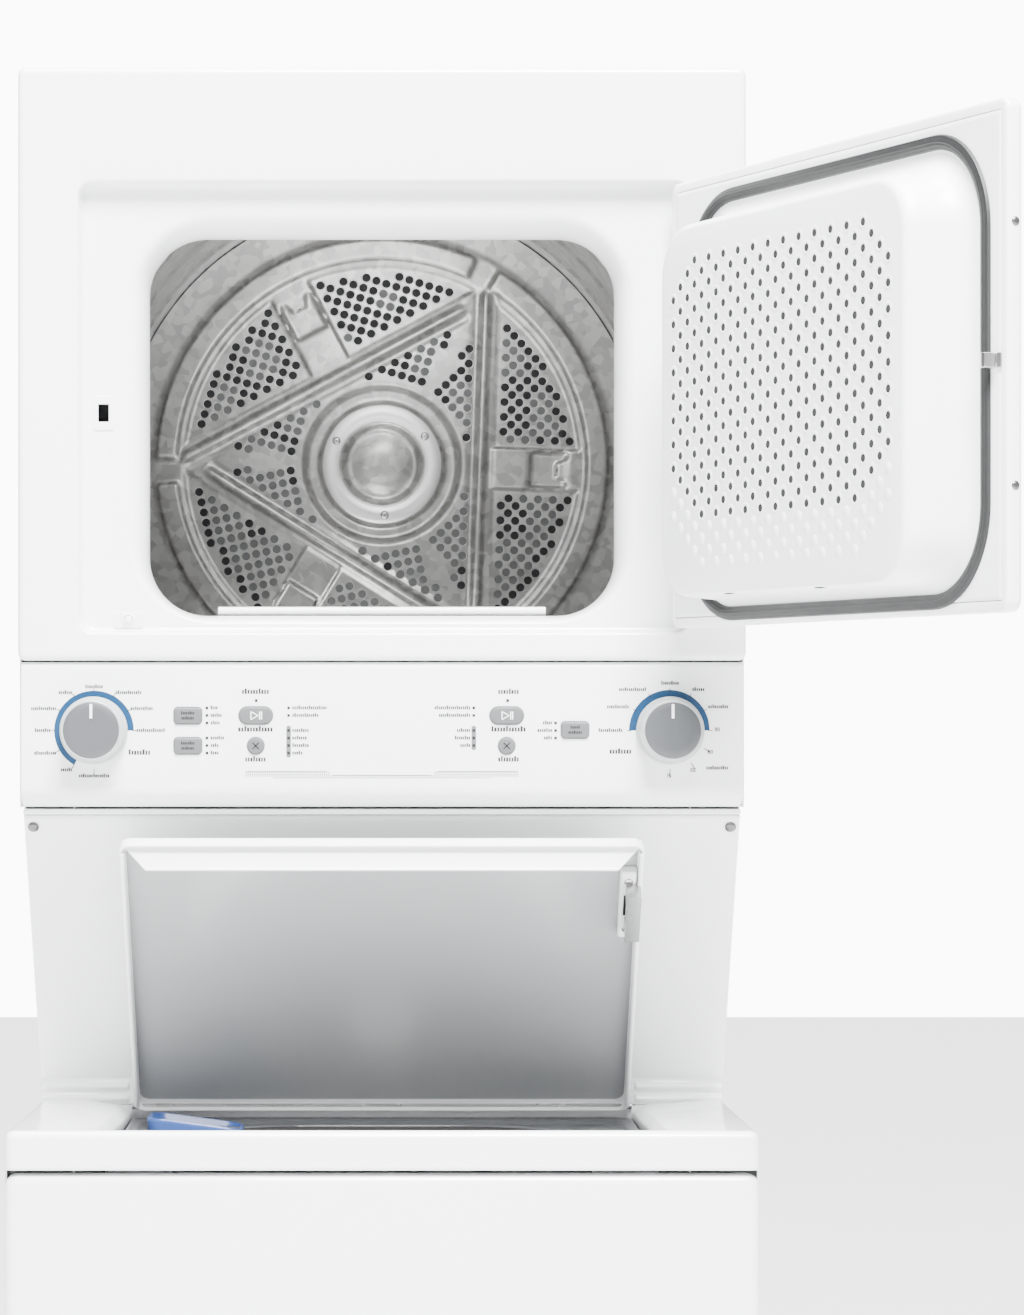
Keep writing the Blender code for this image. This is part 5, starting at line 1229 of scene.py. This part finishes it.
# ---- Washer lid --------------------------------------------------------------
@dataclass
class Lid:
    """Washer lid, drawn shut and lying, then raised to its rest place."""

    half: float = 0.248
    length: float = 0.362
    hinge_y: float = 0.246
    top: float = 0.9290
    slope: float = 2.0

    def __post_init__(self) -> None:
        """Read the hinge's place and the angle between shut and rest."""
        joint = DATUM.joint("washer_lid_hinge")
        self.pivot = np.array(joint["pos_m"])
        self.turn = rotation("X", math.radians(-joint["range_deg"][1]))

    def raise_up(self, mesh: bpy.types.Mesh) -> bpy.types.Mesh:
        """Tilt a mesh drawn lying flat to the deck's slope, then to the lid's rest place."""
        tilt = rotation("X", math.radians(-self.slope))
        move_mesh(mesh, tilt, np.array([0.0, self.hinge_y, self.top]))
        return move_mesh(place(mesh), self.turn, self.pivot)

    def pan(self) -> None:
        """Sheet pan: flat top, rolled edges and deep front and shallow side flanges."""
        front, back = self.hinge_y - self.length, self.hinge_y
        section = [(0.0060, 0.0), (0.0030, -0.0004), (0.0012, -0.0018), (0.0002, -0.0040), (0.0, -0.0060),
                   (0.0, -0.0138), (0.0014, -0.0142), (0.0016, -0.0070), (0.0030, -0.0034),
                   (0.0060, -0.0018)]
        rings = []
        for inset, fall in section:
            loop = rounded_loop((-self.half + inset, front + inset), (self.half - inset, back - inset),
                                0.010, 10)
            rings.append(at_height(loop, self.top + fall))
        mesh = weld(loft("pan", rings, True, True))
        piece("lid_pan", self.raise_up(mesh), ENAMEL, "lid", 50, ("washer_lid",))
        # A grey sheet just under the top: painted shade on the lid's underside.
        inset = 0.0052
        loop = rounded_loop((-self.half + inset, front + inset), (self.half - inset, back - inset), 0.008, 10)
        sheet = weld(loft("sheet", [at_height(loop, self.top - 0.0016), at_height(loop, self.top - 0.0021)],
                          True, True))
        piece("lid_underside", self.raise_up(sheet), LID_SHADE, "lid", 50)
        turn = np.linspace(0, 2 * np.pi, 12, endpoint=False)
        hems = []
        for x in (-self.half + 0.0026, self.half - 0.0026):
            circle = np.column_stack([x + 0.0024 * np.cos(turn), self.top - 0.0142 + 0.0024 * np.sin(turn)])
            hems.append(extrude_outline("hem", circle, front + 0.010, back - 0.008, "Y"))
        piece("lid_hems", self.raise_up(join("hems", hems)), ENAMEL, "lid", 50)
        head = np.array([front + 0.0022, self.top - 0.0030])
        foot = np.array([front + 0.0165, self.top - 0.0290])
        rings = []
        for back_off in (0.0, 0.0014):
            rings.append(np.array([(-self.half + 0.0020, *(head + (0, -back_off))),
                                   (self.half - 0.0020, *(head + (0, -back_off))),
                                   (self.half - 0.0060, *(head * 0.7 + foot * 0.3 + (back_off, 0))),
                                   (self.half - 0.0245, *(foot + (back_off, 0))),
                                   (-self.half + 0.0245, *(foot + (back_off, 0))),
                                   (-self.half + 0.0060, *(head * 0.7 + foot * 0.3 + (back_off, 0)))]))
        flange = weld(loft("flange", rings, True, True))
        roll = extrude_outline("roll", foot + 0.0016 * np.column_stack([np.cos(turn), np.sin(turn)]),
                               -self.half + 0.025, self.half - 0.025, "X")
        obj = piece("lid_front_flange", self.raise_up(join("flange", [flange, roll])), ENAMEL, "lid", 30)
        soften(obj, 0.0006)

    def fittings(self) -> None:
        """Rubber bumpers, the strike bracket with its screws."""
        front = self.hinge_y - self.length
        profile = np.array([(0.0, -0.0060), (0.0040, -0.0056), (0.0058, -0.0036), (0.0062, 0.0)])
        bumper = revolve("bumper", profile[::-1], np.zeros(3), "Z", 24)
        spots = np.array([(-0.228, front + 0.018, self.top - 0.0018),
                          (0.228, front + 0.018, self.top - 0.0018)])
        piece("lid_bumpers", self.raise_up(stamp("bumpers", bumper, spots)), SATIN, "lid")
        reach = self.hinge_y - 0.283
        bracket = block("bracket", (0.2265, reach - 0.043, self.top - 0.0130),
                        (0.2425, reach + 0.043, self.top - 0.0018))
        soften(piece("strike_bracket", self.raise_up(bracket), SATIN, "lid"), 0.0030, 4)
        # A dark sliver on the bracket: painted shade in the strike's slot.
        slot = block("slot", (0.2305, reach - 0.014, self.top - 0.0134),
                     (0.2375, reach + 0.012, self.top - 0.0128))
        piece("strike_slot", self.raise_up(slot), HOLE, "lid")
        screw = move_mesh(screw_head(0.0044), rotation("X", math.pi / 2), np.zeros(3))
        spots = np.array([(0.2345, reach + y, self.top - 0.0133) for y in (-0.031, 0.031)])
        piece("strike_screws", self.raise_up(stamp("screws", screw, spots)), STEEL, "lid")

    def build(self) -> None:
        """Build every piece of the lid."""
        self.pan()
        self.fittings()


# ---- Washer top, sloped panel, front -----------------------------------------
@dataclass
class WasherBody:
    """Deck with its sunk well, tub cover, dispenser, sloped panel with steps, and front panel."""

    front: float = -0.134
    back: float = 0.654
    deck: float = 0.936
    fall: float = 0.0135
    slope_end: float = 0.254
    band: float = 0.900

    def level(self, loop: np.ndarray, lower: float) -> np.ndarray:
        """Lay a loop on the deck, which falls evenly to the sloped panel and is level behind it."""
        along = np.clip((loop[:, 1] - self.front) / (self.slope_end - self.front), 0, 1)
        return np.column_stack([loop, self.deck - self.fall * along - lower])

    def top(self) -> None:
        """Deck: its band, rounded shoulders, and the dished lip round the well."""
        low, high = (-DATUM.half, self.front), (DATUM.half, self.back)
        rings = [at_height(rounded_loop(low, high, 0.009, 12), self.band + 0.0002),
                 at_height(rounded_loop(low, high, 0.009, 12), self.band + 0.004)]
        for a in np.radians(np.linspace(0, 90, 8)):
            inset = 0.008 * (1 - math.cos(a))
            loop = rounded_loop((low[0] + inset, low[1] + inset), (high[0] - inset, high[1] - inset),
                                0.009 - inset * 0.8, 12)
            rings.append(self.level(loop, 0.008 * (1 - math.sin(a))))
        for grow, lower in ((0.0100, 0.0), (0.0092, 0.0004), (0.0080, 0.0014), (0.0020, 0.0060),
                            (0.0006, 0.0074), (0.0, 0.0095), (0.0, 0.0200)):
            loop = rounded_loop((-0.2515 - grow, -0.1195 - grow * 0.5), (0.2515 + grow, 0.2524), 0.010, 12)
            rings.append(self.level(loop, lower))
        obj = piece("deck", place(loft("deck", rings)), ENAMEL, "cabinet", 50, ("washer_top",))
        wall(obj, 0.0012)

    def cover(self) -> None:
        """Tub cover: stepped walls, a floor and the rolled rim of the tub's mouth."""
        rings = []
        for inset, height in ((0.0012, 0.9102), (0.0024, 0.9107), (0.0040, 0.9102), (0.0056, 0.9096),
                              (0.0072, 0.9090), (0.0100, 0.9086), (0.0112, 0.9078), (0.0124, 0.9056),
                              (0.0145, 0.9046), (0.0180, 0.9042)):
            loop = rounded_loop((-0.2515 + inset, -0.1195 + inset), (0.2515 - inset, 0.2525 - inset),
                                0.016, 16)
            rings.append(at_height(loop, height))
        for inset, height in ((-0.0030, 0.9040), (-0.0016, 0.9052), (0.0, 0.9055), (0.0014, 0.9046),
                              (0.0018, 0.9020)):
            loop = rounded_loop((-0.205 + inset, -0.0975 + inset), (0.205 - inset, 0.2305 - inset), 0.140, 16)
            rings.append(at_height(loop, height))
        strike = block("strike_space", (0.2300, -0.092, 0.880), (0.2505, -0.018, 0.930))
        mesh = cut(loft("cover", rings), [strike], 0.0012)
        piece("well_tray", place(mesh), WELL, "cabinet", 50, ("tub_cover",))
        # A black skirt in the rubber finish down the tub's mouth: painted shade that darkens the throat over
        # the lit basket.
        throat_shade = [at_height(rounded_loop((-0.205 + inset, -0.0975 + inset), (0.205 - inset, 0.2305 - inset),
                                       0.140, 16), height)
                for inset, height in ((0.0020, 0.9038), (0.0032, 0.9020), (0.0040, 0.8960), (0.0060, 0.8790))]
        wall(piece("tub_throat_shade", place(loft("throat_shade", throat_shade)), RUBBER, "cabinet", 50), 0.0012)

    def dispenser(self) -> None:
        """Wedge-shaped bleach tray: its rim falls towards one side, and a spout leads to the tub."""
        low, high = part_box("bleach_dispenser")
        lo = (low.x - DATUM.centre, low.y - DATUM.face)
        hi = (high.x - DATUM.centre, high.y - DATUM.face)
        rings = []
        for inset, height, tilt in ((0.006, 0.8812, 0), (0.002, 0.890, 0.3), (0.0, 0.9150, 1),
                                    (0.0, 0.9174, 1), (0.0008, 0.9184, 1), (0.0022, 0.9182, 1),
                                    (0.0030, 0.9168, 1), (0.006, 0.9080, 0.9), (0.013, 0.8980, 0.4),
                                    (0.020, 0.8960, 0.2)):
            loop = rounded_loop((lo[0] + inset, lo[1] + inset), (hi[0] - inset, hi[1] - inset), 0.014, 8)
            drop = tilt * 0.012 * np.clip((loop[:, 0] - lo[0]) / (hi[0] - lo[0]), 0, 1) ** 1.4
            rings.append(np.column_stack([loop, height - drop]))
        mesh = weld(loft("dispenser", rings, True, True))
        piece("bleach_tray", place(mesh), BLUE, "cabinet", 50, ("bleach_dispenser",))

    def sloped(self) -> None:
        """Panel between deck and console: its section is carried across, with two beads outside the lid."""
        low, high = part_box("sloped_panel")
        t = np.linspace(0, 1, 40)
        head, foot = np.array([0.0635, high.z - 0.0008]), np.array([0.254, 0.950])
        face = head + (foot - head) * t[:, None]
        face[:, 0] += 0.0008 * np.exp(-(((face[:, 1] - 1.2105) / 0.0011) ** 2))
        z = np.linspace(0.9495, low.z + 0.0004, 34)[:, None]
        skirt = np.column_stack([np.full(34, 0.2540), z[:, 0]])
        upper, lower = (np.exp(-(((z[:, 0] - level) / 0.0042) ** 2)) for level in (0.9415, 0.9295))
        bead = 0.0050 * (upper + lower)
        section = np.concatenate([face, skirt])
        raised = np.concatenate([np.zeros(40), bead])
        x = np.array([-DATUM.half, -DATUM.half + 0.0008, -0.2560, -0.2535, 0.2535, 0.2560,
                      DATUM.half - 0.0008,
                      DATUM.half])
        shape = np.array([0.4, 1, 1, 0, 0, 1, 1, 0.4])
        points = np.empty((len(section), len(x), 3))
        points[..., 0] = x
        points[..., 1] = section[:, :1] - raised[:, None] * shape
        points[..., 2] = section[:, 1:]
        mesh = mesh_from("slope", points, quads(len(section), len(x), False)[:, ::-1])
        wall(piece("sloped_face", place(mesh), ENAMEL, "cabinet", 40, ("sloped_panel",)), 0.0012)
        ledge = block("ledge", (-0.3415, 0.040, 1.2195), (0.3415, 0.0625, 1.2248))
        soften(piece("console_ledge", place(ledge), ENAMEL, "cabinet"), 0.0015)
        normal = math.atan2(foot[0] - head[0], head[1] - foot[1])
        screw = move_mesh(screw_head(0.0054), rotation("X", normal), np.zeros(3))
        spots = np.array([(side, 0.0700, 1.2062) for side in (-0.3345, 0.3345)])
        piece("slope_screws", place(stamp("screws", screw, spots)), SCREW, "cabinet")

    def front_panel(self) -> None:
        """Front panel with deep rounded edges."""
        low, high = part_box("washer_front_panel")
        plate = solid_plate("front", (low.x - DATUM.centre, low.z), (high.x - DATUM.centre, high.z), 0.012,
                            self.front, -0.1222, 0.0095, 10)
        piece("washer_face", place(plate), ENAMEL, "cabinet", 50, ("washer_front_panel",))

    def build(self) -> None:
        """Build every piece of the washer's outside."""
        self.top()
        self.cover()
        self.dispenser()
        self.sloped()
        self.front_panel()


@dataclass
class Rear:
    """Back of the machine: louvres, screws, exhaust collar, and the feet's hex nuts."""

    def build(self) -> None:
        """Stamp louvres and screws on the two rear panels and ring the exhaust."""
        about = rotation("Z", math.pi)
        t = np.linspace(0, np.pi, 9)
        arch = np.column_stack([0.0020 + 0.0046 * np.sin(t) ** 0.8, 0.006 * np.cos(t)])
        scoop = np.stack([np.column_stack([np.full(9, x), arch[:, 0] * k, arch[:, 1]])
                          for x, k in ((-0.034, 0.15), (-0.031, 0.8), (-0.026, 1.0), (0.026, 1.0),
                                       (0.031, 0.8), (0.034, 0.15))])
        unit = mesh_from("louvre", scoop, quads(6, 9, False))
        low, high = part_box("upper_rear_panel")
        x, z = np.meshgrid(np.array([-0.16, -0.07, 0.07, 0.16]), np.arange(7) * 0.024, indexing="ij")
        upper = np.column_stack([x.ravel() + DATUM.centre, np.full(x.size, high.y), z.ravel() + 1.56])
        lower = upper - np.array([0, 0, 0.96])
        piece("rear_louvres", stamp("louvres", unit, np.concatenate([upper, lower])), ZINC, "cabinet", 40)
        screw = move_mesh(screw_head(0.0046, 14), about, np.zeros(3))
        edge = high.x - DATUM.centre - 0.014
        rows = np.concatenate([np.linspace(0.96, 1.88, 8), np.linspace(0.06, 0.87, 6)])
        sides, rows = np.meshgrid(np.array([-edge, edge]), rows, indexing="ij")
        spots = np.column_stack([sides.ravel() + DATUM.centre, np.full(sides.size, high.y + 0.0008),
                                 rows.ravel()])
        piece("rear_screws", stamp("screws", screw, spots), STEEL, "cabinet")
        duct_low, duct_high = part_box("exhaust_duct")
        centre = np.array([(duct_low.x + duct_high.x) / 2, duct_high.y, (duct_low.z + duct_high.z) / 2])
        r = (duct_high.x - duct_low.x) / 2
        bead = np.array([(r + 0.0002, -0.0010), (r + 0.0020, -0.0016), (r + 0.0026, -0.0032),
                         (r + 0.0020, -0.0048), (r + 0.0002, -0.0054), (r - 0.0014, -0.0032)])
        ring = revolve("bead", bead, np.zeros(3), "Y", 72, closed=True)
        piece("exhaust_bead", place_at(move_mesh(ring, about, np.zeros(3)),
                                       centre - np.array([0, 0.0060, 0])), ZINC,
              "cabinet", 40)
        turn = np.linspace(0, 2 * np.pi, 6, endpoint=False)
        nut = extrude_outline("nut", 0.0105 * np.column_stack([np.cos(turn), np.sin(turn)]),
                              0.0155, 0.0225, "Z")
        feet = [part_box(f"leveling_foot_{row}_{side}")
                for row in ("front", "rear") for side in ("left", "right")]
        spots = np.array([((a.x + b.x) / 2, (a.y + b.y) / 2, 0.0) for a, b in feet])
        soften(piece("foot_nuts", stamp("nuts", nut, spots), STEEL, "cabinet"), 0.0008)


def place_at(mesh: bpy.types.Mesh, spot: np.ndarray) -> bpy.types.Mesh:
    """Shift a mesh drawn about the origin to a spot in the frame."""
    return stamp(mesh.name, mesh, spot[None, :])


BUILDERS = (DrumBack, DrumShell, DryerFront, Door, Console, Lid, WasherBody, Rear)


# ---- Studio ------------------------------------------------------------------
@dataclass
class Studio:
    """Plain pale floor, soft lights and the camera."""

    lens: float = 107.0
    distance: float = 3.68
    height: float = 1.299
    shift: tuple[float, float] = (0.0989, 0.0559)
    key_power: float = 1600.0
    fill_power: float = 36.0
    side_power: float = 16.0
    drum_power: float = 0.9
    overhead_strength: float = 10.0
    lit_strength: float = 0.24
    seen_strength: float = 11.0
    floor_half: float = 14.0

    def floor(self) -> None:
        """A wide pale floor under the object."""
        corners = np.array([(-1, -1, 0), (1, -1, 0), (1, 1, 0), (-1, 1, 0)]) * self.floor_half
        mesh = mesh_from("floor", corners, [[0, 1, 2, 3]])
        obj = bpy.data.objects.new("studio_floor", mesh)
        bpy.context.scene.collection.objects.link(obj)
        mesh.materials.append(Finish("studio_floor", "white_plastic", (0.94, 0.94, 0.94), 0.8,
                                     Kind.PRINT).material())

    def light(self, name: str, spot: tuple[float, float, float], aim: tuple[float, float, float], size: float,
              power: float) -> None:
        """A large soft square light aimed at a point."""
        lamp = bpy.data.lights.new(name, "AREA")
        lamp.shape = "SQUARE"
        lamp.size = size
        lamp.energy = power
        obj = bpy.data.objects.new(name, lamp)
        bpy.context.scene.collection.objects.link(obj)
        towards = Vector(aim) - Vector(spot)
        obj.location = spot
        obj.rotation_euler = towards.to_track_quat("-Z", "Y").to_euler()

    def sky(self) -> None:
        """Even white surroundings, brighter where they are seen straight."""
        world = bpy.data.worlds.new("studio_white")
        bpy.context.scene.world = world
        world.use_nodes = True
        tree = world.node_tree
        shade = tree.nodes["Background"]
        shade.inputs["Color"].default_value = (1.0, 1.0, 1.0, 1.0)
        seen = tree.nodes.new("ShaderNodeLightPath")
        span = tree.nodes.new("ShaderNodeMapRange")
        span.inputs["To Min"].default_value = self.lit_strength
        span.inputs["To Max"].default_value = self.seen_strength
        tree.links.new(seen.outputs["Is Camera Ray"], span.inputs["Value"])
        tree.links.new(span.outputs["Result"], shade.inputs["Strength"])

    def camera(self) -> None:
        """A level camera straight in front of the cabinet's middle."""
        data = bpy.data.cameras.new("camera")
        data.lens = self.lens
        data.sensor_width = 36.0
        data.shift_x, data.shift_y = self.shift
        data.clip_end = 50.0
        obj = bpy.data.objects.new("camera", data)
        bpy.context.scene.collection.objects.link(obj)
        obj.location = (DATUM.centre, DATUM.face - self.distance, self.height)
        obj.rotation_euler = (math.pi / 2, 0.0, 0.0)
        bpy.context.scene.camera = obj

    def build(self) -> None:
        """Set the whole studio up."""
        self.floor()
        middle = (DATUM.centre, 0.0, 1.25)
        self.light("key", (DATUM.centre + 0.5, -2.7, 4.9), middle, 1.8, self.key_power)
        self.light("fill", (DATUM.centre - 1.6, -3.7, 2.6), middle, 2.4, self.fill_power)
        self.light("side", (DATUM.centre + 3.0, -2.4, 2.4), middle, 2.0, self.side_power)
        drum = (DATUM.centre, DATUM.face + 0.5, 1.55)
        self.light("drum", (DATUM.centre, DATUM.face + 0.13, 1.78), drum, 0.16, self.drum_power)
        sun = bpy.data.lights.new("overhead", "SUN")
        sun.energy = self.overhead_strength
        sun.angle = math.radians(30)
        bpy.context.scene.collection.objects.link(bpy.data.objects.new("overhead", sun))
        self.sky()


def dress_frame() -> None:
    """Give every CAD node that still shows its slot's finish."""
    for entry in RECORD["subparts"]:
        node = frame["nodes"][entry["node"]]
        finish = NODE_FINISH.get(entry["node"], SLOT_FINISH[entry["material_slot"]])
        for slot in node.material_slots:
            slot.material = finish.material()
        if not node.material_slots:
            node.data.materials.append(finish.material())


NODE_FINISH = {"wash_basket": STEEL_SATIN, "drum_shaft": STEEL_SATIN, "tub_cover": WELL}


def main() -> None:
    """Build the object's looks piece by piece, then the studio."""
    logging.basicConfig(level=logging.INFO, format="%(name)s: %(message)s")
    dress_frame()
    for builder in BUILDERS:
        LOG.info("building %s", builder.__name__)
        builder().build()
    studio = Studio()
    studio.build()
    studio.camera()


if __name__ == "__main__":
    main()
